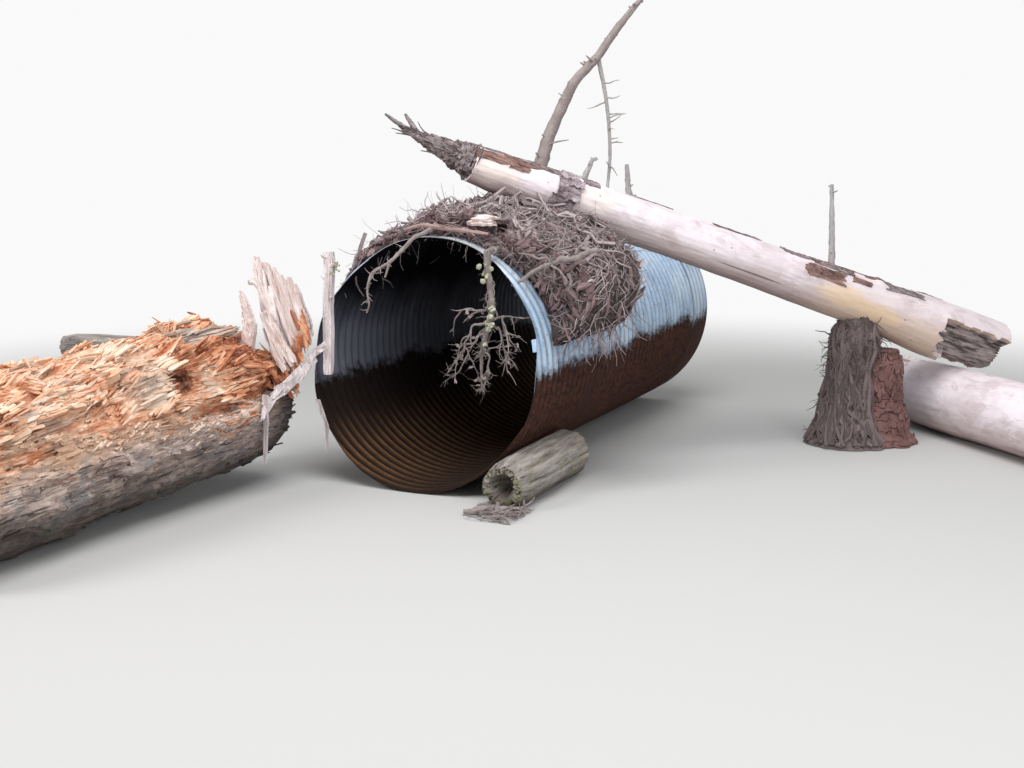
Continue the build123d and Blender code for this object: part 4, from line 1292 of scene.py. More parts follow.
# %% The bare log finish
def bare_log(name, line, fresh=(), heart=None, aged=(1.2, 2.8)):
    f = Finish(name)
    place = f.place()
    direction = line.along
    broad = f.noise(place, 3.0, 4, 0.6)
    grains = f.noise(f.along(direction, 6), 34, 5, 0.65)
    fibres = f.noise(f.along(direction, 14), 200, 3, 0.7)
    above = f.add("NewGeometry", output="Normal").dot((0, 0, 1))
    mottle = f.noise(f.along(direction, 2.0), 11, 6, 0.66, 0.4)
    offset = place.vector("SUBTRACT", tuple(line.start))
    distance = offset.dot(direction)
    colour = f.blend(broad.ramp(0.36, 0.62), (0.74, 0.65, 0.69), (0.88, 0.81, 0.86))
    colour = f.blend((distance.ramp(*aged) * (0.15 + broad * 0.45)).clamp(), colour, (0.60, 0.49, 0.49))
    colour = f.blend((mottle.ramp(0.49, 0.64) * 0.6).clamp(), colour, (0.56, 0.46, 0.475))
    colour = f.blend((grains.ramp(0.46, 0.72) * 0.25).clamp(), colour, (0.46, 0.37, 0.37))
    colour = f.blend((fibres.ramp(0.52, 0.72) * 0.25).clamp(), colour, (0.86, 0.80, 0.83))
    # A warm brown tone below, partly the wood's own colour and partly painted shade; faces that point down
    # are painted darker still as shade
    warm_tone_and_shade = (1 - above.ramp(-0.75, 0.25)) * (0.45 + broad * 0.8)
    colour = f.blend((warm_tone_and_shade * 0.62).clamp(), colour, (0.40, 0.26, 0.21))
    colour = f.blend(((1 - above.ramp(-1.0, -0.55)) * 0.6).clamp(), colour, (0.16, 0.08, 0.055))
    tan = distance.ramp(aged[0] + 0.7, aged[0] + 1.1) * (1 - (above + (mottle - 0.5) * 1.2).ramp(-0.35, 0.55))
    colour = f.blend((tan * 0.6).clamp(), colour, (0.68, 0.51, 0.37))
    for centres, tone in fresh:
        colour = f.blend((f.near(direction, 2.4, centres, 0.085, 0.13) * 0.55).clamp(), colour, tone)
    stain = f.noise(f.along(direction, 3.0), 8, 6, 0.72, 0.4).ramp(0.57, 0.67)
    colour = f.blend((stain * (0.2 + above.ramp(-0.2, 0.9) * 0.4)).clamp(), colour, (0.36, 0.28, 0.28))
    holes = f.add("TexVoronoi", {}, {"Vector": f.along(direction, 1.6), "Scale": 13}, "Distance")
    hole = 1 - holes.ramp(0.035, 0.060)
    split = 1 - f.noise(f.along(direction, 22), 30, 3, 0.55).ramp(0.27, 0.32)
    colour = f.blend(((hole + split) * 0.7).clamp(), colour, (0.14, 0.09, 0.08))
    if heart:
        # Deeper than the given radius, past the given distance, the hollow heart shows, painted dark as shade
        # inside the hollow
        far = distance.ramp(heart[0] - 0.03, heart[0] + 0.03)
        middle = f.add("CombineXYZ", {}, {"X": offset.dot(line.across), "Y": offset.dot(line.upward)})
        depth = f.add("VectorMath", {"operation": "LENGTH"}, {0: middle}, "Value")
        deep = 1 - depth.ramp(heart[1] - 0.02, heart[1])
        inner = f.blend(grains.ramp(0.38, 0.60), (0.055, 0.041, 0.039), (0.44, 0.37, 0.36))
        colour = f.blend((deep * far).clamp(), colour, inner)
    f.set("Base Color", colour)
    f.set("Roughness", (stain * 0.15 + 0.64).clamp())
    f.relief(grains * 0.4 + fibres * 0.3 + stain * 0.25 - split * 0.6 - hole * 0.6, 0.0035)
    return f


RIGHT_RADIUS = 0.203
BUTT_RADIUS = 0.170
FLARE = math.radians(42)
right_lay = Vector((math.sin(FLARE), -math.cos(FLARE), 0))
right_back = at(1.9, 2.76, RIGHT_RADIUS - 0.004)
header_start = around_pipe(87.6, CREST + 0.360, 0.280)
crossing = right_back + right_lay * 0.480 + Vector((0, 0, RIGHT_RADIUS + BUTT_RADIUS))
header_aim = (crossing - header_start).normalized()
HEADER_SPAN = (crossing - header_start).length + 0.290
header_line = LogLine(header_start, header_start + header_aim * HEADER_SPAN)
header_fresh = [([header_line.point(d, math.radians(a), r) for d, a, r in spots], tone) for spots, tone in
                ((((0.10, 185, 0.105), (0.63, 165, 0.122)), (0.86, 0.74, 0.66)),
                 (((2.22, 188, 0.152), (2.44, 200, 0.158)), (0.82, 0.60, 0.36)))]
header_finish = bare_log("bare_header", header_line, header_fresh, (HEADER_SPAN - 0.53, 0.148))
HEADER_STATIONS = [(HEADER_SPAN * share, *rest) for share, *rest in (
    (0, 0.094, 0, -0.010), (0.05, 0.104, 0.004, -0.012), (0.12, 0.114, 0.004, -0.012),
    (0.22, 0.122, 0.006, -0.010), (0.35, 0.124, 0.006, -0.002), (0.5, 0.127, 0, 0.004),
    (0.7, 0.140, -0.006, 0.004), (0.86, 0.168, -0.004, 0), (1, 0.166, 0, 0))]


def header_relief(distance, angle, radius):
    x, z = math.cos(angle), math.sin(angle)
    swell = 0.006 * lumpy(distance * 1.3, x * 1.2, z * 1.2)
    crack = ridged(distance * 0.55 + 4, x * 5, z * 5) ** 8
    dimples = 0.0018 * lumpy(distance * 9, x * 7, z * 7)
    knots = 0.0
    for where, side in ((0.62, 1.2), (1.25, 2.3), (1.7, 0.6), (2.45, 1.9), (2.9, 2.8)):
        turn = math.atan2(math.sin(angle - side), math.cos(angle - side))
        knots += 0.016 * math.exp(-((distance - where) / 0.035) ** 2 - (turn / 0.26) ** 2)
    return swell + dimples + knots - 0.0016 * crack


def header_point(distance, sideways, up):
    """As on the solid: sideways is toward the open side."""
    return (header_start + header_line.along * distance - header_line.across * sideways
            + header_line.upward * up)


SPLIT = 0.55


def split_depth(distance, angle, radius):
    """The open side of the butt has fallen away and shows the hollow heart."""
    turn = math.degrees(angle) + 7 * lumpy(distance * 14, 3, 0)
    ragged = 0.06 * lumpy(angle * 5, 1, 7) + 0.03 * lumpy(angle * 17, 4, 7)
    start = header_line.length - SPLIT + 0.05 + ragged + 0.08 * max((math.degrees(angle) - 215) / 45, 0)
    if 158 < turn < 305 and distance > start:
        share = 0.50 - 0.40 * max((turn - 232) / 73, 0)
        return -radius * share - 0.014 * abs(lumpy(distance * 5, angle * 9, 2))
    return 0.0


def butt_end(angle, fraction):
    ragged = torn(21, 0.035)(angle, fraction)
    hollow = 0.22 * max(0.0, 1 - (fraction / 0.7) ** 2)
    return -abs(ragged) - hollow - 0.035


header = Pile()
header.grid(log_rows(header_line, HEADER_STATIONS,
                     lambda d, a, r: header_relief(d, a, r) + split_depth(d, a, r), 114, 0.0125,
                     at_start(torn(15, 0.01)), butt_end, floor=False))
header.piece("header_bare_log", header_finish, "bare_log", ("header_log",))

# %% [markdown]
# Bark is left at the tip and in patches. It is dark, plated and stands off the wood. Patches are bent
# sheets laid on the log with torn outlines, so their edges catch the light and throw a small shadow.

# %% Bark finishes and patches
def bark_finish(name, light, dark, direction, scale=30):
    f = Finish(name)
    place = f.place()
    broad = f.noise(place, 9, 5, 0.62)
    scales = f.noise(f.along(direction, 2.6), scale, 6, 0.74, 0.7)
    fine = f.noise(f.along(direction, 2.0), 130, 4, 0.7)
    colour = f.blend(scales.ramp(0.40, 0.62), dark, light)
    colour = f.blend((broad.ramp(0.48, 0.66) * 0.5).clamp(), colour, tuple(c * 0.6 for c in light))
    colour = f.blend((fine.ramp(0.52, 0.72) * 0.4).clamp(), colour, tuple(min(c * 1.25, 0.8) for c in light))
    colour = f.blend(((1 - scales.ramp(0.30, 0.42)) * 0.9).clamp(), colour, (0.018, 0.012, 0.010))
    f.set("Base Color", colour)
    f.set("Roughness", 0.92)
    f.relief(scales * 0.8 + fine * 0.3, 0.008)
    return f


bark = bark_finish("header_bark", (0.36, 0.30, 0.31), (0.095, 0.066, 0.064), header_line.along)
red_bark = bark_finish("red_inner_bark", (0.36, 0.22, 0.19), (0.13, 0.070, 0.060), header_line.along, 24)
pink_bark = bark_finish("pink_grey_bark", (0.50, 0.42, 0.46), (0.16, 0.11, 0.115), header_line.along, 22)
tip = Pile()
add_twig(tip, [header_point(0.035, 0, 0), header_point(-0.035, 0, 0.004), header_point(-0.15, 0, 0.010),
               header_point(-0.27, 0, 0.026), header_point(-0.35, 0, 0.040), header_point(-0.478, 0, 0.075)],
         [0.088, 0.078, 0.044, 0.027, 0.014, 0.005], 30, 10, 0.24, 3.0)
add_twig(tip, [header_point(-0.28, 0, 0.028), header_point(-0.335, 0.006, 0.07),
               header_point(-0.385, 0.010, 0.108)], [0.018, 0.014, 0.006], 9, 6, 0.25, 5.0)
for number in range(70):
    turn = chance.uniform(0, 2 * math.pi)
    reach = chance.uniform(-0.02, 0.34)
    size = 0.080 * max(1 - reach / 0.36, 0.16)
    outward = header_line.outward(turn)
    start = header_point(-reach, 0, reach * 0.1) + outward * size
    heading = turned(header_line.along * -1, header_line.upward, chance.gauss(0, 0.2))
    if number % 6:
        add_flake(tip, start, turned(heading, heading.cross(outward), 0.14), outward, (0.04, 0.11),
                  (0.014, 0.036), (0.003, 0.007), (-0.010, 0.0), chance, BLUNT)
    else:
        add_twig(tip, wander(start, heading + outward * 0.2, chance.uniform(0.04, 0.10), 3, chance, 0.6),
                 [0.006, 0.005, 0.003, 0.002], 5, 2, 0.2, number)
tip.piece("barked_tip", bark, "bark", ("header_tip",))


def add_patch(pile, distance, angle, long, wide, lift, curl, seed):
    """A torn sheet of bark that follows the header log, lifted a little and curled at its edges."""
    line, rows, steps, across = header_line, [], 14, 12
    for r in range(steps + 1):
        u = r / steps * 2 - 1
        row = []
        for c in range(across + 1):
            v = c / across * 2 - 1
            edge = 1 + 0.32 * lumpy(u * 2.4 + seed, v * 2.4, seed)
            d = min(max(distance + u * long / 2 * edge, 0.004), line.length - 0.01)
            radius, drift, rise = between(HEADER_STATIONS, d)
            a = angle + v * wide / 2 * edge / radius
            stand = lift + curl * max(abs(u), abs(v)) ** 3 * (0.6 + 0.6 * lumpy(u * 2, v * 2, seed + 4))
            stand += 0.003 * lumpy(u * 7, v * 7, seed)
            size = radius + header_relief(d, a, radius) + stand
            row.append(line.point(d, a, size, rise) + line.across * drift)
        rows.append(row)
    under = [[p - (p - line.point(distance, 0, 0)).normalized() * 0.005 for p in row] for row in rows]
    base, count = len(pile.points), across + 1
    pile.grid(rows, around=False)
    below = len(pile.points)
    pile.grid([list(reversed(row)) for row in under], around=False)
    border = [(0, c) for c in range(across)] + [(r, across) for r in range(steps)]
    border += [(steps, c) for c in range(across, 0, -1)] + [(r, 0) for r in range(steps, 0, -1)]
    for k, (r, c) in enumerate(border):
        r2, c2 = border[(k + 1) % len(border)]
        pile.faces.append((base + r2 * count + c2, base + r * count + c,
                           below + r * count + across - c, below + r2 * count + across - c2))


patches = Pile()
for number in range(20):
    # Most of it is on top, near the tip and near the butt
    distance = abs(chance.gauss(0, 0.35)) + 0.03 if number < 11 else chance.uniform(0.3, HEADER_SPAN - 0.3)
    add_patch(patches, distance, chance.gauss(1.45, 0.35), chance.uniform(0.08, 0.30),
              chance.uniform(0.02, 0.06), 0.002, 0.006, number * 1.7)
patches.piece("bark_patches", bark, "bark")
red = Pile()
for number in range(13):
    distance = chance.uniform(0.03, 0.30) if number < 4 else chance.uniform(2.05, 2.55)
    add_patch(red, distance, chance.gauss(1.9, 0.45), chance.uniform(0.10, 0.26), chance.uniform(0.03, 0.08),
              0.002, 0.005, number * 2.3 + 90)
red.piece("red_bark_patches", red_bark, "bark")

# %% [markdown]
# One large flap of bark hangs off the log's open side. It stays where its solid is, wraps the log, and its
# lower edge is torn and stands away.

# %% The hanging bark flap
flap = Pile()
flap_rows = []
for r in range(31):
    d = HEADER_SPAN * 0.135 + HEADER_SPAN * 0.033 * r / 30
    row = []
    for c in range(41):
        t = c / 40
        a = 1.75 + t * 2.35
        jag = 0.02 * lumpy(r * 0.21, t * 3, 8)
        radius, drift, rise = between(HEADER_STATIONS, d)
        stand = 0.006 + 0.010 * t + 0.012 * lumpy(r * 0.16, t * 4, 1) + 0.022 * max(t - 0.75, 0)
        row.append(header_line.point(d + jag * (abs(r - 15) / 15), a, radius + stand, rise)
                   + header_line.across * drift)
    flap_rows.append(row)
flap_hub = header_line.point(HEADER_SPAN * 0.15, 0, 0)
inner = [[p - (p - flap_hub).normalized() * 0.006 for p in row] for row in flap_rows]
flap.grid([flap_rows[0], *flap_rows, flap_rows[-1]], around=False)
flap.grid([list(reversed(row)) for row in inner], around=False)
flap.grid([flap_rows[0], inner[0]], around=False)
flap.grid([inner[-1], flap_rows[-1]], around=False)
flap.grid([[row[0] for row in inner], [row[0] for row in flap_rows]], around=False)
flap.grid([[row[-1] for row in flap_rows], [row[-1] for row in inner]], around=False)
for number in range(9):
    add_patch(flap, HEADER_SPAN * 0.152 + chance.uniform(-0.05, 0.05), chance.uniform(2.2, 3.9),
              chance.uniform(0.05, 0.1), chance.uniform(0.03, 0.07), 0.018, 0.012, number * 3.1 + 40)
flap.piece("bark_flap", pink_bark, "bark", ("header_bark_flap",))

# %% [markdown]
# ## Dead limbs
# A dead limb leans over the log, with one long branch back down to it, and three snags stand on its top. A
# limb is a smooth line with an uneven thickness, small knobs where twigs broke off, and a few twigs left.

# %% The dead wood finish, limb and snags
def dead_wood(name, pale, dark, lichen=None, islands=True):
    f = Finish(name)
    place = f.place()
    broad = f.noise(place, 14, 4, 0.6)
    fine = f.noise(place, 110, 4, 0.7)
    tone = f.add("NewGeometry", output="Random Per Island") if islands else broad
    colour = f.blend((tone * 0.6 + broad * 0.5 - 0.05).clamp(), dark, pale)
    colour = f.blend((fine.ramp(0.5, 0.75) * 0.5).clamp(), colour, dark)
    if lichen:
        colour = f.blend((f.noise(place, 30, 4, 0.6).ramp(0.56, 0.64) * 0.8).clamp(), colour, lichen)
    f.set("Base Color", colour)
    f.set("Roughness", 0.88)
    f.relief(fine, 0.0015)
    return f


limb_finish = dead_wood("dead_limb", (0.40, 0.34, 0.33), (0.15, 0.115, 0.11), (0.30, 0.31, 0.27), False)
snag_finish = dead_wood("grey_snag", (0.52, 0.50, 0.49), (0.27, 0.25, 0.245), None, False)
foot = HEADER_SPAN * 0.11
limb_line = [header_point(foot, 0, 0.045)]
for along, sideways, rise in ((-9, -8, 244), (6, 9, 440), (21, 30, 561), (83, 60, 710), (132, 86, 886),
                              (201, 121, 1080)):
    limb_line.append(header_point(foot + along / 1000, sideways / 1000, rise / 1000))
limb = Pile()
add_twig(limb, limb_line, [0.038, 0.031, 0.027, 0.025, 0.022, 0.018, 0.011], 14, 9, 0.11, 2.0)
smooth, _ = smooth_line(limb_line, [0.03] * 7, 9)
for number in range(26):
    k = chance.randrange(4, len(smooth) - 2)
    heading = Vector((chance.gauss(0, 1), chance.gauss(0, 1), chance.uniform(0.2, 0.9)))
    knob = chance.random() < 0.6
    reach = chance.uniform(*((0.03, 0.05) if knob else (0.07, 0.16)))
    sizes = [0.010, 0.008, 0.006, 0.004] if knob else [0.007, 0.005, 0.004, 0.002]
    add_twig(limb, wander(smooth[k], heading, reach, 3, chance, 0.5), sizes, 5, 2, 0.2, number)
limb.piece("leaning_dead_limb", limb_finish, "dead_wood", ("leaning_limb",))
branch = Pile()
branch_foot = header_point(HEADER_SPAN * 0.225, 0, 0.07)
branch_line = [limb_line[4]]
for share in (0.35, 0.7):
    branch_line.append(limb_line[4].lerp(branch_foot, share) + Vector((0.024, 0.024, 0)))
branch_line.append(branch_foot)
add_twig(branch, branch_line, [0.012, 0.010, 0.009, 0.008], 8, 12, 0.14, 6.0)
branch_smooth, _ = smooth_line(branch_line, [1] * 4, 12)
for number in range(14):
    start = branch_smooth[chance.randrange(6, len(branch_smooth) - 6)]
    heading = Vector((chance.gauss(0, 1), chance.gauss(0, 1), chance.uniform(-0.4, 0.5)))
    add_twig(branch, wander(start, heading, chance.uniform(0.04, 0.13), 3, chance, 0.6),
             [0.005, 0.004, 0.003, 0.0015], 4, 2, 0.2, number)
branch.piece("pale_branch", snag_finish, "dead_wood", ("limb_branch",))
for name, node, (share, drift, rise) in (("snag_a", "short_stub_left", (0.18, 0.012, 0.110)),
                                         ("snag_b", "short_stub_right", (0.27, -0.105, 0.140)),
                                         ("tall_snag", "tall_stub", (0.645, -0.1935, 0.430))):
    snag = Pile()
    d = HEADER_SPAN * share
    line = [header_point(d, 0, 0.07), header_point(d + drift * 0.4, 0, 0.06 + rise * 0.5),
            header_point(d + drift, 0.010, 0.118 + rise)]
    add_twig(snag, line, [0.021, 0.017, 0.010], 10, 10, 0.16, share * 20)
    add_twig(snag, [line[0], line[0] + Vector((0, 0, 0.025)), line[0] + Vector((0, 0, 0.055))],
             [0.036, 0.030, 0.018], 12, 4, 0.2, share * 9)
    line, _ = smooth_line(line, [1] * 3, 10)
    for number in range(5):
        start = line[chance.randrange(6, len(line) - 1)]
        heading = Vector((chance.gauss(0, 1), chance.gauss(0, 1), chance.uniform(0.2, 1)))
        add_twig(snag, wander(start, heading, chance.uniform(0.02, 0.05), 2, chance, 0.5),
                 [0.006, 0.005, 0.003], 5, 2, 0.2, number)
    snag.piece(name, snag_finish, "dead_wood", (node,))

# %% [markdown]
# ## The right wing log
# This one is the cleanest: cream below, greyer on top, low on the floor, with a shattered pale end where it
# meets the header.

# %% The right wing log
right_line = LogLine(right_back, right_back + right_lay * 2.0)
right_fresh = [right_line.point(d, a, 0.2) for d, a in ((0.35, 0.3), (0.9, 0.0), (1.35, 0.5))]
right_finish = bare_log("cream_log", right_line, [(right_fresh, (0.90, 0.80, 0.66))], None, (1.5, 3.5))
RIGHT_STATIONS = [(0, 0.166, 0, 0), (0.15, 0.197, 0, 0), (0.48, 0.203, 0, 0), (1.0, 0.199, 0.006, 0),
                  (1.5, 0.191, 0.004, -0.004), (2.0, 0.187, 0, -0.006)]


def right_relief(distance, angle, radius):
    x, z = math.cos(angle), math.sin(angle)
    swell = 0.008 * lumpy(distance * 1.1 + 9, x * 1.1, z * 1.1)
    crack = ridged(distance * 0.7, x * 4, z * 4 + 2) ** 7
    flat = 0.0025 * lumpy(distance * 5, x * 8, z * 8)
    return swell + flat - 0.0018 * crack - 0.003


right = Pile()
right.grid(log_rows(right_line, RIGHT_STATIONS, right_relief, 100, 0.015,
                    lambda a, fr: 0.10 * abs(torn(31, 1)(a, fr)) + 0.02,
                    lambda a, fr: -0.02 * abs(torn(33, 1)(a, fr)) - 0.003))
right.piece("cream_wing_log", right_finish, "bare_log", ("right_wing_log",))
shards = Pile()
for number in range(70):
    # The end is shattered into pale shards
    turn = chance.uniform(0, 2 * math.pi)
    size = RIGHT_RADIUS * chance.uniform(0.45, 0.93)
    outward = right_line.outward(turn)
    spot = right_back + right_lay * chance.uniform(0.02, 0.10) + outward * size
    spot.z = max(spot.z, 0.02)
    add_flake(shards, spot, turned(right_lay, outward, chance.gauss(0, 0.2)),
              turned(outward, right_lay, chance.gauss(0, 0.3)), (0.08, 0.26), (0.025, 0.075), (0.010, 0.026),
              (-0.004, 0.012), chance, BLUNT if number % 3 else POINTED)
shards.piece("wing_log_shards", pale_splinter, "bare_log", smooth=False)

# %% [markdown]
# ## Packed brush
# Brush is the hardest thing here, because it is not a surface at all. It is made in three layers: a dark,
# lumpy mat that closes the view, bark plates and lumps pressed into it, and then twigs, which do the work.
# A place on the brush is an angle round the pipe and a reach: up the front face first, then back over the
# top. A twig is a walk over such places, so it drapes over the mat as real ones do once they have settled.

# %% The dark mat over crown and shoulder
MAT = ((9, 0.060), (13, 0.260), (22, 0.372), (31, 0.372), (40, 0.320), (48, 0.268), (56, 0.232), (66, 0.205),
       (76, 0.186), (86, 0.148), (97, 0.122), (112, 0.084), (128, 0.050), (146, 0.010))
MAT_DEPTH = 0.9
SLANT = 0.55
HOLE_DEPTH = 0.11
HOLE_ANGLE, HOLE_HEIGHT = 66, 0.62


def brush_mat():
    f = Finish("brush_mat")
    place = f.place()
    fine = f.noise(place, 60, 6, 0.7)
    broad = f.noise(place, 8, 4, 0.6)
    colour = f.blend(fine.ramp(0.35, 0.7), (0.020, 0.014, 0.014), (0.135, 0.100, 0.098))
    f.set("Base Color", f.blend((broad.ramp(0.5, 0.7) * 0.6).clamp(), colour, (0.15, 0.070, 0.055)))
    f.set("Roughness", 0.95)
    f.relief(fine, 0.01)
    return f


mat_finish = brush_mat()


def mat_thickness(angle):
    for (a, t), (b, u) in zip(MAT, MAT[1:]):
        if a <= angle <= b:
            return t + (u - t) * (angle - a) / (b - a)
    return 0.0


def mat_setback(angle):
    return 0.120 - 0.078 * min(max((angle - 40) / 14, 0), 1)


def mat_point(angle, depth, height=1.0, above=0.0):
    """A point of the brush: how far round the pipe, how far back, how far up its thickness."""
    setback = mat_setback(angle)
    share = depth / MAT_DEPTH
    swell = 0.78 + 0.22 * min(share / 0.3, 1) - 0.4 * max(share - 0.72, 0) / 0.28
    lumps = lumpy(angle * 0.09, depth * 7, 2) * 0.045 + lumpy(angle * 0.3, depth * 22, 5) * 0.022
    thick = mat_thickness(angle)
    lift = max(thick * swell * height + (lumps - 0.016) * height * min(thick / 0.1, 1), 0.004) + above
    front = lumpy(angle * 0.12, height * 4, 8) * 0.045 + lumpy(angle * 0.5, height * 11, 3) * 0.018
    # A dark hole beside the pale chunk
    front += HOLE_DEPTH * math.exp(-((angle - HOLE_ANGLE) / 4.5) ** 2 - ((height - HOLE_HEIGHT) / 0.22) ** 2)
    front *= 1 - share
    slant = SLANT * min(max((52 - angle) / 8, 0), 1)
    reach = 1 - slant * (1 - math.sin(math.radians(angle)) * (CREST + lift) / CREST)
    back = 0.032 + 0.030 * (1 - height) * (1 - share)
    ragged = share ** 3 * (0.16 * lumpy(angle * 0.16, height * 2, 11) + 0.08 * lumpy(angle * 0.6, 4, 5))
    distance = setback + back + share * (MAT_DEPTH - setback) * reach + max(front, -0.020) + min(ragged, 0)
    return around_pipe(angle, CREST + lift, distance)


def low_edge(share):
    """The ragged lower edge of the brush, in degrees, from front to back."""
    return 9.5 + 16 * abs(lumpy(share * 4.2, 3, 6)) + 11 * abs(lumpy(share * 15, 1, 2))


def brush_point(angle, reach, above=0.0):
    """A place on the brush: up its front face for a reach of 0 to 1, over its top beyond that."""
    if reach < 1:
        return mat_point(angle, 0.0, max(reach, 0.02), above)
    return mat_point(angle, min((reach - 1) * MAT_DEPTH, MAT_DEPTH), 1.0, above)


mat = Pile()
mat_rows = []
MAT_ROWS = 170
for k in range(MAT_ROWS):
    row = []
    for height, share in ([(h / 11, 0.0) for h in range(12)] + [(1.0, d / 48) for d in range(1, 49)]
                          + [(h / 4, 1.0) for h in (3, 2, 1, 0)] + [(0.0, d / 8) for d in range(7, 0, -1)]):
        low = low_edge(share)
        row.append(mat_point(low + (146.4 - low) * k / (MAT_ROWS - 1), share * MAT_DEPTH, height))
    mat_rows.append(row)
mat.grid(mat_rows)
count = len(mat_rows[0])
mat.faces.append(tuple(range(count)))
mat.faces.append(tuple(reversed(range((MAT_ROWS - 1) * count, MAT_ROWS * count))))
mat.piece("brush_mat", mat_finish, "brush", ("crown_brush_left", "crown_brush_right", "shoulder_brush"))

# %% Bark plates and lumps pressed into the mat
plate_finish = dead_wood("brush_plates", (0.33, 0.215, 0.215), (0.055, 0.034, 0.036))
plates = Pile()
chance = random.Random(57)


def brush_spot():
    """A random place, more often where the brush shows."""
    angle = chance.triangular(12, 143, 58)
    if chance.random() > 0.5:
        return angle, 1 + chance.random() ** 1.4 * 0.97
    reach = chance.uniform(0.15, 1.0)
    return (angle, reach) if abs(angle - 66) > 5 or abs(reach - 0.62) > 0.25 else (angle + 12, reach)


def brush_frame(angle, reach):
    """A place on the brush, its outward direction, and a direction that lies in its surface."""
    spot = brush_point(angle, reach)
    beside = brush_point(angle + 1.5, reach) - spot
    onward = brush_point(angle, reach + 0.04) - spot
    outward = onward.cross(beside).normalized()
    middle = around_pipe(angle, CREST * 0.5, mat_setback(angle) + 0.3)
    outward = outward if outward.dot(spot - middle) > 0 else -outward
    return spot, outward, beside.normalized()


for number in range(800):
    spot, outward, lie = brush_frame(*brush_spot())
    lie = turned(lie, outward, chance.gauss(0, 0.8))
    outward = turned(outward, lie, chance.gauss(0, 0.45))
    length = chance.uniform(0.03, 0.13)
    add_flake(plates, spot + outward * 0.002, lie, outward, length,
              min(length * chance.uniform(0.12, 0.4), 0.028), (0.004, 0.012), (-0.012, 0.006), chance,
              BLUNT if number % 3 == 0 else POINTED)
for number in range(230):
    # Lumps of bark and rotten root, mostly on the shoulder
    spot, outward, lie = brush_frame(chance.triangular(14, 104, 44), chance.uniform(0.2, 1.9))
    lie = turned(lie, outward, chance.gauss(0.6, 0.9))
    size = chance.uniform(0.014, 0.034)
    add_lump(plates, spot, lie, turned(outward, lie, chance.gauss(0, 0.4)),
             (size * chance.uniform(1.0, 2.6), size * chance.uniform(0.5, 1.0),
              size * chance.uniform(0.35, 0.6)), number * 1.3)
plates.piece("brush_bark_plates", plate_finish, "brush", smooth=False)

# %% Twigs and roots of the brush
twig_finish = dead_wood("brush_twigs", (0.58, 0.49, 0.50), (0.080, 0.055, 0.056))


def draped(angle, reach, turn, length, chance, steps=6, wild=0.35, lift=0.010):
    """A walk over the brush: an angle and a reach that change, at a height that wavers."""
    points = []
    for step in range(steps + 1):
        over = lift * (0.4 + abs(chance.gauss(0, 1))) * (1.6 if step in (0, steps) else 1.0)
        points.append(brush_point(angle, reach, over))
        thick = max(mat_thickness(angle), 0.03)
        pace = length / steps
        angle += math.degrees(math.cos(turn) * pace / (CREST + thick))
        reach += math.sin(turn) * pace / (thick if reach < 1 else MAT_DEPTH)
        turn += chance.gauss(0, wild)
        angle, reach = min(max(angle, 11), 146), min(max(reach, 0.03), 1.98)
    return points


twigs = Pile()
for number in range(1750):
    angle, reach = brush_spot()
    thick = chance.random()
    size = chance.uniform(*((0.006, 0.013) if thick < 0.06 else (0.003, 0.005) if thick < 0.3
                            else (0.0014, 0.0026)))
    # On the left the twigs follow the rim, on the right they tumble down the shoulder
    settle = chance.gauss(0.0, 0.35) if angle > 84 else chance.gauss(0.35, 0.9)
    turn = settle + (math.pi if chance.random() < 0.5 else 0)
    length = chance.uniform(0.10, 0.42) if thick < 0.3 else chance.uniform(0.07, 0.28)
    points = draped(angle, reach, turn, length, chance, 6, 0.38, 0.008 + size)
    add_twig(twigs, points, tapered(size, 7), 4, 1, 0.25, number)
    if thick < 0.3:
        fork = points[3]
        heading = (points[5] - points[3]).normalized() + stray(chance, (0, 0.6), (-0.1, 0.4), (0.1, 0.5))
        add_twig(twigs, wander(fork, heading, length * 0.4, 4, chance, 1.0), tapered(size * 0.6, 5), 4, 1,
                 0.25, number)
twigs.piece("brush_twigs", twig_finish, "brush")

# Some stand out: over the edges of the mat and down over the rim
roots = Pile()
for number in range(400):
    kind = (0, 1, 2, 1, 2)[number % 5]
    if kind == 0:
        start = mat_point(chance.triangular(20, 125, 60), 0.0, chance.uniform(0.1, 0.7))
        heading = Vector((chance.gauss(0.2, 0.5), -0.15, chance.uniform(-1.1, 0.2)))
    elif kind == 1:
        share = chance.random() ** 1.3 * 0.9
        start = mat_point(low_edge(share) + chance.uniform(0, 9), share * MAT_DEPTH, chance.uniform(0.4, 1.0))
        heading = Vector((chance.gauss(0.1, 0.3), chance.gauss(0, 0.5), -1.0))
    else:
        angle, reach = brush_spot()
        start, outward, lie = brush_frame(angle, reach)
        heading = outward * chance.uniform(0.2, 0.9) + lie * chance.gauss(0, 1) + Vector((0, 0, -0.1))
    size = chance.uniform(0.0012, 0.0048 if kind == 1 else 0.0032)
    length = chance.uniform(0.06, 0.26) if kind == 1 else chance.uniform(0.05, 0.19)
    add_twig(roots, wander(start, heading, length, 5, chance, 1.2), tapered(size, 6), 4, 1, 0.25, number)
roots.piece("brush_rootlets", twig_finish, "brush")

# %% [markdown]
# A few pieces of the brush are large enough to name: a reddish stick and a pale chunk on the crown, a branch
# that crosses the shoulder, and a twig that hangs over the left of the mouth.

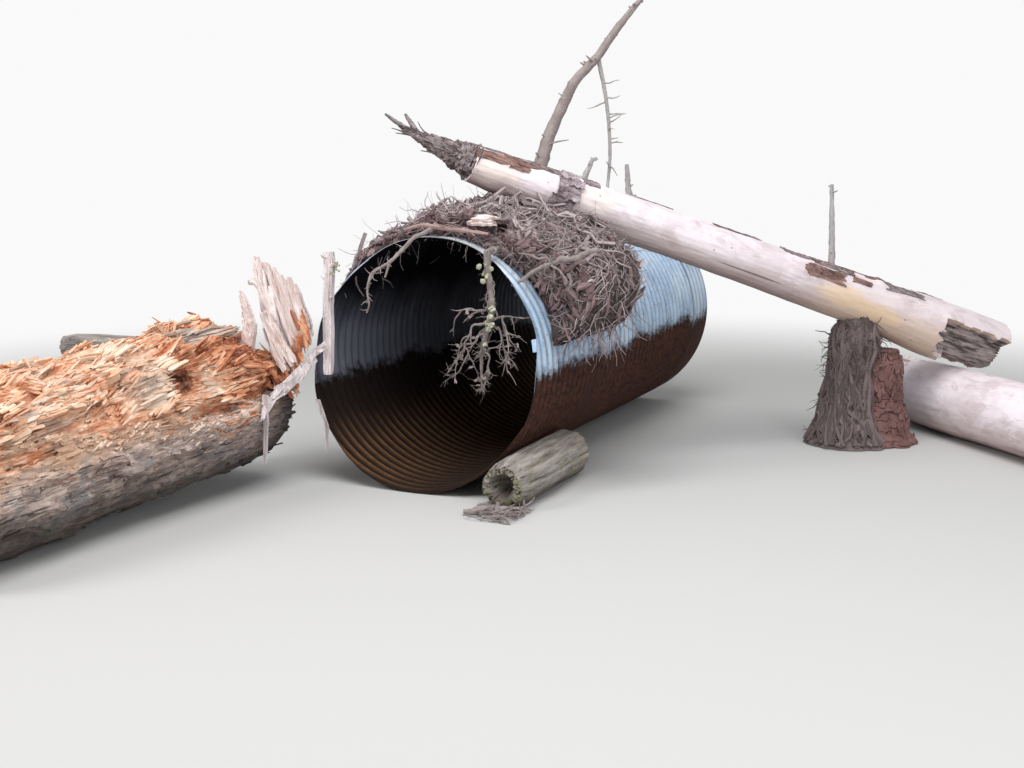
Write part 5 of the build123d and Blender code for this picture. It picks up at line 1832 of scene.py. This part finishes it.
# %% Named sticks of the crown
stick_finish = dead_wood("reddish_stick", (0.48, 0.35, 0.33), (0.20, 0.12, 0.11), None, False)
stick = Pile()
add_twig(stick, [around_pipe(104, CREST + 0.046, 0.020), around_pipe(95, CREST + 0.052, 0.016),
                 around_pipe(85, CREST + 0.042, 0.018), around_pipe(65, CREST + 0.084, 0.020)],
         [0.007, 0.011, 0.012, 0.007], 9, 10, 0.26, 3.0)
for number in range(9):
    start = around_pipe(chance.uniform(68, 102), CREST + 0.05, 0.012)
    heading = stray(chance, (0, 1), (-0.2, 0.4), (0.1, 0.5))
    add_twig(stick, wander(start, heading, chance.uniform(0.03, 0.08), 4, chance, 1.2), tapered(0.004, 5), 5,
             2, 0.3, number)
stick.piece("crown_stick", stick_finish, "dead_wood", ("crown_stick",))
chunk = Pile()
for number in range(11):
    spot = at(0.258, 0.158, 1.316) + Vector((chance.gauss(0, 0.014), chance.uniform(-0.024, 0.024),
                                             chance.uniform(-0.018, 0.018)))
    lie = Vector((1, chance.gauss(0, 0.07), 0.03 + chance.gauss(0, 0.07))).normalized()
    outward = Vector((0, -0.55, 1))
    outward = square(outward, lie)
    add_flake(chunk, spot, lie, outward, (0.08, 0.14), (0.016, 0.036), (0.006, 0.016),
              (-0.008, 0.002), chance, BLUNT if number % 3 else POINTED)
chunk.piece("pale_chunk", pale_splinter, "pale_wood", ("pale_wood_chunk",), smooth=False)
branch = Pile()
shoulder = [around_pipe(42.5, CREST - 0.032, 0.032), around_pipe(40, CREST + 0.118, 0.068),
            around_pipe(38, CREST + 0.214, 0.092), around_pipe(34.6, CREST + 0.392, 0.102)]
add_twig(branch, crooked(shoulder, 0.006, chance),
         [0.007, 0.009, 0.010, 0.011, 0.012, 0.013, 0.015, 0.014, 0.013, 0.010], 8, 5, 0.24, 5.0)
side = around_pipe(39, CREST + 0.17, 0.08)
for tipward, size in ((Vector((-0.13, -0.10, 0.06)), 0.007), (Vector((0.10, -0.05, -0.07)), 0.006),
                      (Vector((0.06, -0.07, 0.10)), 0.005)):
    way = crooked([side, side + tipward * 0.55 + Vector((0, 0, 0.012)), side + tipward], 0.006, chance)
    add_twig(branch, way, tapered(size, len(way)), 6, 3, 0.25, size * 900)
for number in range(16):
    start = pick(shoulder, chance.uniform(0.1, 0.95))
    heading = stray(chance, (0, 1), (-0.3, 0.6), (0, 0.8))
    add_twig(branch, wander(start, heading, chance.uniform(0.02, 0.08), 4, chance, 1.4), tapered(0.003, 5),
             4, 2, 0.3, number)
branch.piece("shoulder_branch", limb_finish, "dead_wood", ("shoulder_branch",))
twig = Pile()
twig_start = around_pipe(90, CREST + 0.058, 0.052)
twig_line = [twig_start] + [twig_start + Vector(v)
                            for v in ((-0.060, -0.130, -0.060), (-0.150, -0.210, -0.180),
                                      (-0.240, -0.215, -0.240), (-0.262, -0.220, -0.330),
                                      (-0.275, -0.220, -0.428))]
add_twig(twig, crooked(twig_line, 0.006, chance, 2), tapered(0.012, 11), 8, 5, 0.25, 8.0)
line, _ = smooth_line(twig_line, [1] * 6, 10)
add_twig(twig, [twig_line[2], twig_line[2] + Vector((-0.015, -0.02, -0.07))], [0.008, 0.004], 6, 4, 0.2, 2.0)
for number in range(30):
    start = line[chance.randrange(8, len(line) - 1)]
    heading = stray(chance, (0, 1), (-0.2, 0.6), (-0.2, 0.8))
    add_twig(twig, wander(start, heading, chance.uniform(0.015, 0.06), 4, chance, 1.4), tapered(0.003, 5), 4,
             2, 0.2, number)
twig.piece("hanging_twig", limb_finish, "dead_wood", ("crown_twig",))

# %% [markdown]
# ## Roots over the mouth
# A stem of roots hangs over the mouth and frays into fine ends, with pale green lichen in lumps on it. The
# stem and its six branches follow the solid. Rootlets start at random on them and droop.

# %% The hanging root cluster
ROOT_ANGLE = math.radians(57)
root_at = at(CREST * math.cos(ROOT_ANGLE), -0.045, CREST + CREST * math.sin(ROOT_ANGLE))


def from_root(x, y, z):
    return root_at + Vector((x, y, z)) / 1000


root_finish = dead_wood("hanging_roots", (0.34, 0.29, 0.285), (0.085, 0.060, 0.062), (0.30, 0.30, 0.22))
cluster = Pile()
stem = [from_root(*p) for p in ((0, 210, 50), (20, 85, 44), (36, -6, 30), (64, -20, -125), (72, -30, -235),
                                (40, -20, -335), (16, -20, -435), (14, -10, -613))]
add_twig(cluster, stem, [0.012, 0.013, 0.014, 0.014, 0.014, 0.012, 0.009, 0.004], 9, 9, 0.25, 1.0)
for strand in range(7):
    way = crooked(stem[:-1], 0.012, chance, 2)
    add_twig(cluster, way, tapered(chance.uniform(0.003, 0.007), len(way)), 5, 3, 0.3, strand * 2.0)
branches = [((64, -20, -175), (-6, -30, -230), (-118, -20, -235)),
            ((70, -28, -255), (-36, -45, -335), (-108, -30, -473)),
            ((40, -20, -335), (-46, -50, -395), (-95, -40, -523)),
            ((64, -28, -285), (134, -20, -345), (163, -10, -493)),
            ((24, -20, -395), (64, -25, -445), (40, -15, -533)),
            ((64, -25, -215), (134, -25, -275), (183, -20, -344))]
runs = [smooth_line(stem, [1] * 8, 6)[0][14:]]
for number, points in enumerate(branches):
    points = crooked([from_root(*p) for p in points], 0.013, chance)
    add_twig(cluster, points, tapered(0.0070, len(points)), 7, 4, 0.32, number * 3.0)
    line, _ = smooth_line(points, [1] * len(points), 4)
    runs.append(line[3:])
    for fork in range(3):
        # Each branch forks into thinner, hooked ones
        start = chance.choice(line[4:-2])
        heading = (points[-1] - points[0]).normalized() + stray(chance, (0, 0.6), (-0.1, 0.3), (-0.5, 0.5))
        way = wander(start, heading, chance.uniform(0.07, 0.17), 6, chance, 1.1)
        add_twig(cluster, way, tapered(0.0040, 7), 5, 2, 0.3, number * 3 + fork)
        runs.append(way[2:])
for number in range(230):
    start = chance.choice(runs[0]) if number % 5 < 2 else chance.choice(chance.choice(runs))
    heading = stray(chance, (0, 0.75), (-0.1, 0.5), (-0.6, 0.6))
    size = chance.uniform(0.0011, 0.0028)
    start = Vector((start.x, max(start.y, root_at.y - 0.07), start.z))
    way = wander(start, heading, chance.uniform(0.02, 0.09), 5, chance, 1.3)
    add_twig(cluster, way, tapered(size, 6), 4, 1, 0.3, number)
    if number % 4 == 0:
        # A crumb of bark still sits on some
        add_flake(cluster, way[2], (way[3] - way[1]).normalized(), Vector((0.2, -1, 0.1)).normalized(),
                  (0.010, 0.028), (0.008, 0.018), 0.006, 0.0, chance, BLUNT)
cluster.piece("root_cluster", root_finish, "dead_wood", ("hanging_root_cluster",))

# %% Lichen lumps on roots, stake and branch
def pale_lichen():
    f = Finish("pale_lichen")
    fine = f.noise(f.place(), 90, 4, 0.7)
    f.set("Base Color", f.blend(fine.ramp(0.3, 0.7), (0.30, 0.31, 0.20), (0.60, 0.62, 0.47)))
    f.set("Roughness", 0.95)
    f.relief(fine, 0.004)
    return f


lichen_finish = pale_lichen()
lichen = Pile()
spots = [(from_root(32, -20, -30), 0.026), (from_root(48, -26, -70), 0.022),
         (from_root(70, -44, -250), 0.026), (from_root(62, -40, -300), 0.022),
         (from_root(28, -34, -390), 0.016), (from_root(80, -40, -215), 0.018)]
spots += [(at(rim_x + 0.03, rim_y + 0.015, rim_z + 0.21), 0.020),
          (at(rim_x + 0.05, rim_y + 0.01, rim_z + 0.185), 0.017),
          (at(rim_x + 0.022, rim_y + 0.01, rim_z + 0.16), 0.015)]
for number, (centre, size) in enumerate(spots):
    for part in range(4):
        shift = stray(chance, (0, 1), (0, 0.6), (0, 1)) * size * 0.55
        size_here = size * chance.uniform(0.35, 0.7)
        add_lump(lichen, centre + shift, Vector((1, 0, 0)), Vector((0, 0, 1)), [size_here] * 3,
                 number * 5 + part, 12, 8)
lichen.piece("lichen_tufts", lichen_finish, "dead_wood")

# %% [markdown]
# ## Under the header
# Between the header and the floor stand a dark clump of roots and bark, and a red-brown block of rotten
# wood that breaks into cubes. Both carry the header. The clump is a lumpy core under many torn plates; the
# block is cut into cubes by cracks that are real grooves.

# %% Root clump and rotten block
# Height, radius and drift of each, as on the solids
CLUMP_FOOT = at(1.710, 1.930, 0)
CLUMP_STATIONS = [(0.0, 0.250, 0, 0), (0.070, 0.187, -0.006, 0), (0.210, 0.147, -0.014, 0),
                  (0.400, 0.125, -0.006, 0.008), (0.590, 0.133, 0.008, 0.012), (0.763, 0.085, 0.030, 0.010)]
BLOCK_FOOT = at(1.880, 2.025, 0)
BLOCK_STATIONS = [(0.0, 0.205, 0, 0), (0.080, 0.150, 0, 0), (0.250, 0.117, -0.008, 0),
                  (0.430, 0.109, -0.004, 0), (0.533, 0.075, 0, 0)]


def upright_point(foot, stations, height, turn, lump, seed, above=0.0):
    radius, aside, back = between(stations, height)
    x, y = math.cos(turn), math.sin(turn)
    lobes = lumpy(x * 1.7 + seed, y * 1.7, height * 2.2)
    knots = lumpy(x * 4 + seed, y * 4, height * 9)
    size = radius * (0.97 + lump * lobes + lump * 0.45 * knots) + above
    return foot + Vector((aside + x * size, back + y * size, height))


def add_upright(pile, foot, stations, lump, seed, sides=72, steps=60, cubes=0.0):
    """A standing body: a fan of points at the foot, rings up to the top, and a fan there."""
    top = stations[-1][0]
    rows = [[foot + Vector((0, 0, 0.001))] * sides]
    for r in range(steps + 1):
        height = 0.001 + (top - 0.002) * r / steps
        row = []
        for k in range(sides):
            turn = 2 * math.pi * k / sides
            above = 0.0
            if cubes:
                place = Vector((math.cos(turn) * 2.7, math.sin(turn) * 2.7, height * 21 + seed))
                gaps, middles = noise.voronoi(place, distance_metric="CHEBYCHEV")
                above = cubes * (0.9 * noise.cell(middles[0] * 3.7)
                                 - (1.0 if gaps[1] - gaps[0] < 0.06 else 0))
            row.append(upright_point(foot, stations, height, turn, lump, seed, above))
        rows.append(row)
    _, aside, back = stations[-1][1:]
    rows.append([foot + Vector((aside, back, top))] * sides)
    pile.grid(rows)


clump_finish = dead_wood("clump_bark", (0.24, 0.185, 0.185), (0.040, 0.027, 0.026))
clump = Pile()
add_upright(clump, CLUMP_FOOT, CLUMP_STATIONS, 0.15, 4.0)
for number in range(64):
    # Roots that run down the clump, twisting, and spread at its foot
    turn = chance.uniform(0, 2 * math.pi)
    top = chance.uniform(0.25, 0.72)
    twist = chance.gauss(0, 0.7)
    size = chance.uniform(0.004, 0.016)
    points = []
    for step in range(8):
        share = step / 7
        height = max(top * (1 - share) ** 0.9, 0.008 + size)
        wobble = chance.gauss(0, 0.10)
        points.append(upright_point(CLUMP_FOOT, CLUMP_STATIONS, height, turn + twist * share + wobble, 0.15,
                                    4.0, size * 0.4))
    add_twig(clump, points, [size * (0.6 + 0.5 * i / 7) for i in range(8)], 6, 2, 0.3, number)
for number in range(620):
    height = chance.uniform(0.02, 0.73)
    turn = chance.uniform(0, 2 * math.pi)
    spot = upright_point(CLUMP_FOOT, CLUMP_STATIONS, height, turn, 0.15, 4.0, 0.002)
    outward = Vector((math.cos(turn), math.sin(turn), 0.1 + chance.gauss(0, 0.2))).normalized()
    lie = Vector((chance.gauss(0, 0.3), chance.gauss(0, 0.3), -1))
    lie = square(lie, outward)
    length = chance.uniform(0.025, 0.085)
    if number % 5 < 2:
        add_flake(clump, spot, lie, turned(outward, lie, chance.gauss(0, 0.5)), length,
                  length * chance.uniform(0.25, 0.5), 0.007, (-0.006, 0.008), chance, BLUNT)
    else:
        points = wander(spot, outward * 0.5 + lie * 0.8, length * 1.4, 4, chance, 1.6)
        points = [Vector((p.x, p.y, max(p.z, 0.006))) for p in points]
        add_twig(clump, points, tapered(chance.uniform(0.002, 0.0045), 5), 4, 1, 0.2, number)
for number in range(110):
    height, turn = chance.uniform(0.05, 0.71), chance.uniform(0, 2 * math.pi)
    size = chance.uniform(0.012, 0.030)
    outward = Vector((math.cos(turn), math.sin(turn), chance.gauss(0, 0.2))).normalized()
    lie = turned(Vector((0, 0, -1)) + outward * outward.z, outward, chance.gauss(0, 0.6))
    add_lump(clump, upright_point(CLUMP_FOOT, CLUMP_STATIONS, height, turn, 0.15, 4.0, -0.004), lie, outward,
             (size * chance.uniform(1.2, 2.8), size, size * 0.6), number * 1.7)
clump.piece("root_clump", clump_finish, "brush", ("root_clump",))
block_finish = dead_wood("rotten_cubes", (0.30, 0.155, 0.135), (0.060, 0.028, 0.030), (0.105, 0.060, 0.062),
                         False)
block = Pile()
add_upright(block, BLOCK_FOOT, BLOCK_STATIONS, 0.14, 9.0, 150, 120, 0.008)
for number in range(150):
    # Cubes that have half come away
    height, turn = chance.uniform(0.02, 0.51), chance.uniform(0, 2 * math.pi)
    spot = upright_point(BLOCK_FOOT, BLOCK_STATIONS, height, turn, 0.14, 9.0, 0.001)
    outward = Vector((math.cos(turn), math.sin(turn), 0.1)).normalized()
    lie = turned(Vector((0, 0, -1)) - outward * -outward.z, outward, chance.gauss(0, 0.3))
    add_flake(block, spot, lie, turned(outward, lie, chance.gauss(0, 0.3)), (0.02, 0.06), (0.012, 0.030),
              (0.008, 0.016), 0.0, chance, BLUNT)
block.piece("rotten_block", block_finish, "rotten_wood", ("rotten_block",))

# %% [markdown]
# ## The toe log
# A short hollow log lies in the pipe's haunch, with moss on its torn end and a few sticks against it.

# %% Toe log and loose sticks
TOE_RADIUS = 0.118
toe_x = math.sqrt((CREST + TOE_RADIUS) ** 2 - (CREST - TOE_RADIUS + 0.005) ** 2)
toe_line = LogLine(at(toe_x, -0.26, 0.113), at(toe_x, 0.56, 0.113))
toe_finish = wood("toe_log_wood", toe_line.along, (0.36, 0.335, 0.305), (0.16, 0.135, 0.12),
                  (0.035, 0.026, 0.022), 0.005, (0.33, 0.27, 0.20), (0.52, 0.68), 0.86,
                  # Painted shade at the foot of the log, then moss
                  (0.02, 0.09, (0.07, 0.05, 0.04)), 30, 10, (0.10, 0.24, (0.16, 0.18, 0.05)))
toe = Pile()


def toe_end(angle, fraction):
    return abs(torn(41, 0.035)(angle, fraction)) + 0.01 + 0.14 * max(0.0, 1 - (fraction / 0.66) ** 2)


toe.grid(log_rows(toe_line, [(0, 0.098, 0, 0), (0.11, 0.115, 0, 0),
                             (0.41, 0.120, -0.002, 0), (0.82, 0.119, 0, 0)],
                  lambda d, a, r: min(0.004, 0.008 * lumpy(d * 3, math.cos(a) * 2, math.sin(a) * 2)
                                      - 0.009 * ridged(d * 1.2, math.cos(a) * 3.4, math.sin(a) * 3.4) ** 5
                                      + 0.001),
                  84, 0.011, toe_end, at_start(torn(44, 0.0))))
toe.piece("toe_log", toe_finish, "weathered_wood", ("toe_log",))
debris = Pile()
add_twig(debris, [at(toe_x - 0.135, -0.37, 0.014), at(toe_x - 0.005, -0.30, 0.024),
                  at(toe_x + 0.105, -0.27, 0.030)], [0.011, 0.014, 0.009], 8, 8, 0.2, 4.0)
add_twig(debris, [at(toe_x + 0.045, -0.43, 0.012), at(toe_x + 0.015, -0.33, 0.024),
                  at(toe_x - 0.035, -0.20, 0.040)], [0.010, 0.012, 0.008], 8, 8, 0.2, 8.0)
for number in range(70):
    turn = chance.uniform(-0.9, 0.9)
    start = at(toe_x + chance.uniform(-0.12, 0.11), chance.uniform(-0.42, -0.24), chance.uniform(0.006, 0.03))
    heading = Vector((math.cos(turn), math.sin(turn), chance.uniform(-0.02, 0.12)))
    points = wander(start, heading, chance.uniform(0.06, 0.2), 3, chance, 0.5)
    points = [Vector((min(p.x, axis_x + toe_x + 0.13), max(p.y, mouth_y - 0.44), max(p.z, 0.005)))
              for p in points]
    size = chance.uniform(0.002, 0.006)
    add_twig(debris, points, [size, size * 0.9, size * 0.7, size * 0.4], 5, 2, 0.2, number)
debris.piece("washed_sticks", limb_finish, "dead_wood", ("toe_sticks",))

# %% [markdown]
# ## Light and view
# The studio is plain: a pale floor that keeps the shadow, a white world that only the camera and the shiny
# surfaces see at full strength, and large soft lamps. The camera stands in front, at eye height.

# %% Floor, world, lamps and camera
scene = bpy.context.scene
scene.view_settings.view_transform = "Standard"
floor_mesh = bpy.data.meshes.new("floor")
floor_mesh.from_pydata([(-40, -40, -0.002), (40, -40, -0.002), (40, 40, -0.002), (-40, 40, -0.002)], [],
                       [(0, 1, 2, 3)])
floor_finish = Finish("studio_floor")
floor_finish.set("Base Color", (0.53, 0.53, 0.525, 1))
floor_finish.set("Roughness", 0.95)
away = floor_finish.place().vector("MULTIPLY", (1, 1, 0))
far_off = floor_finish.add("VectorMath", {"operation": "LENGTH"}, {0: away}, "Value").ramp(3.6, 7.5)
glow = floor_finish.add("Emission", {}, {"Color": (1, 1, 1, 1), "Strength": 0.95})
seen = floor_finish.add("LightPath", output="Is Camera Ray")
both = floor_finish.add("MixShader", {},
                        {0: (far_off * seen).clamp(), 1: Wire(floor_finish, floor_finish.surface.outputs[0]),
                         2: glow})
floor_finish.tree.links.new(both.socket, floor_finish.tree.nodes["Material Output"].inputs["Surface"])
floor_mesh.materials.append(floor_finish.material)
floor = bpy.data.objects.new("floor", floor_mesh)
bpy.context.collection.objects.link(floor)
floor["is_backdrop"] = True

world = bpy.data.worlds.new("studio") if scene.world is None else scene.world
scene.world = world
world.use_nodes = True
studio = Nodes(world.node_tree)
background = studio.tree.nodes.get("Background") or studio.tree.nodes.new("ShaderNodeBackground")
straight = studio.add("LightPath", output="Is Camera Ray")
in_view = straight.math("MAXIMUM", studio.add("LightPath", output="Is Glossy Ray"))
strength = studio.add("MapRange", {}, {"Value": in_view, "To Min": 0.42, "To Max": 0.95})
studio.tree.links.new(strength.socket, background.inputs["Strength"])
background.inputs["Color"].default_value = (1.0, 1.0, 1.0, 1)


def soft_lamp(name, place, target, size, power, colour=(1, 1, 1)):
    lamp = bpy.data.lights.new(name, "AREA")
    lamp.shape = "DISK"
    lamp.size = size
    lamp.energy = power
    lamp.color = colour
    obj = bpy.data.objects.new(name, lamp)
    obj.location = place
    obj.rotation_euler = (Vector(target) - Vector(place)).to_track_quat("-Z", "Y").to_euler()
    bpy.context.collection.objects.link(obj)


soft_lamp("sky_lamp", (1.0, -2.5, 7.5), (0, 0, 0.6), 6.0, 495)
soft_lamp("key_lamp", (-5.0, -6.5, 5.0), (-0.4, 0, 0.6), 3.0, 300, (1.0, 0.98, 0.95))
soft_lamp("fill_lamp", (6.0, -4.5, 3.5), (0.6, 0.4, 0.6), 3.5, 150, (0.95, 0.97, 1.0))

SENSOR = 36
FOCAL_SHARE = 1400 / 1024
EYE = (3.14, -5.96, 1.693)
LOOK_DOWN, TURN_LEFT = 9.89, 24.06
lens = bpy.data.cameras.new("eye")
lens.sensor_width = SENSOR
lens.lens = SENSOR * FOCAL_SHARE
camera = bpy.data.objects.new("eye", lens)
camera.location = at(*EYE)
camera.rotation_euler = (math.radians(90 - LOOK_DOWN), 0, math.radians(TURN_LEFT))
bpy.context.collection.objects.link(camera)
scene.camera = camera

low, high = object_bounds()
print("cad", cad_low, cad_high, "visual", low, high)
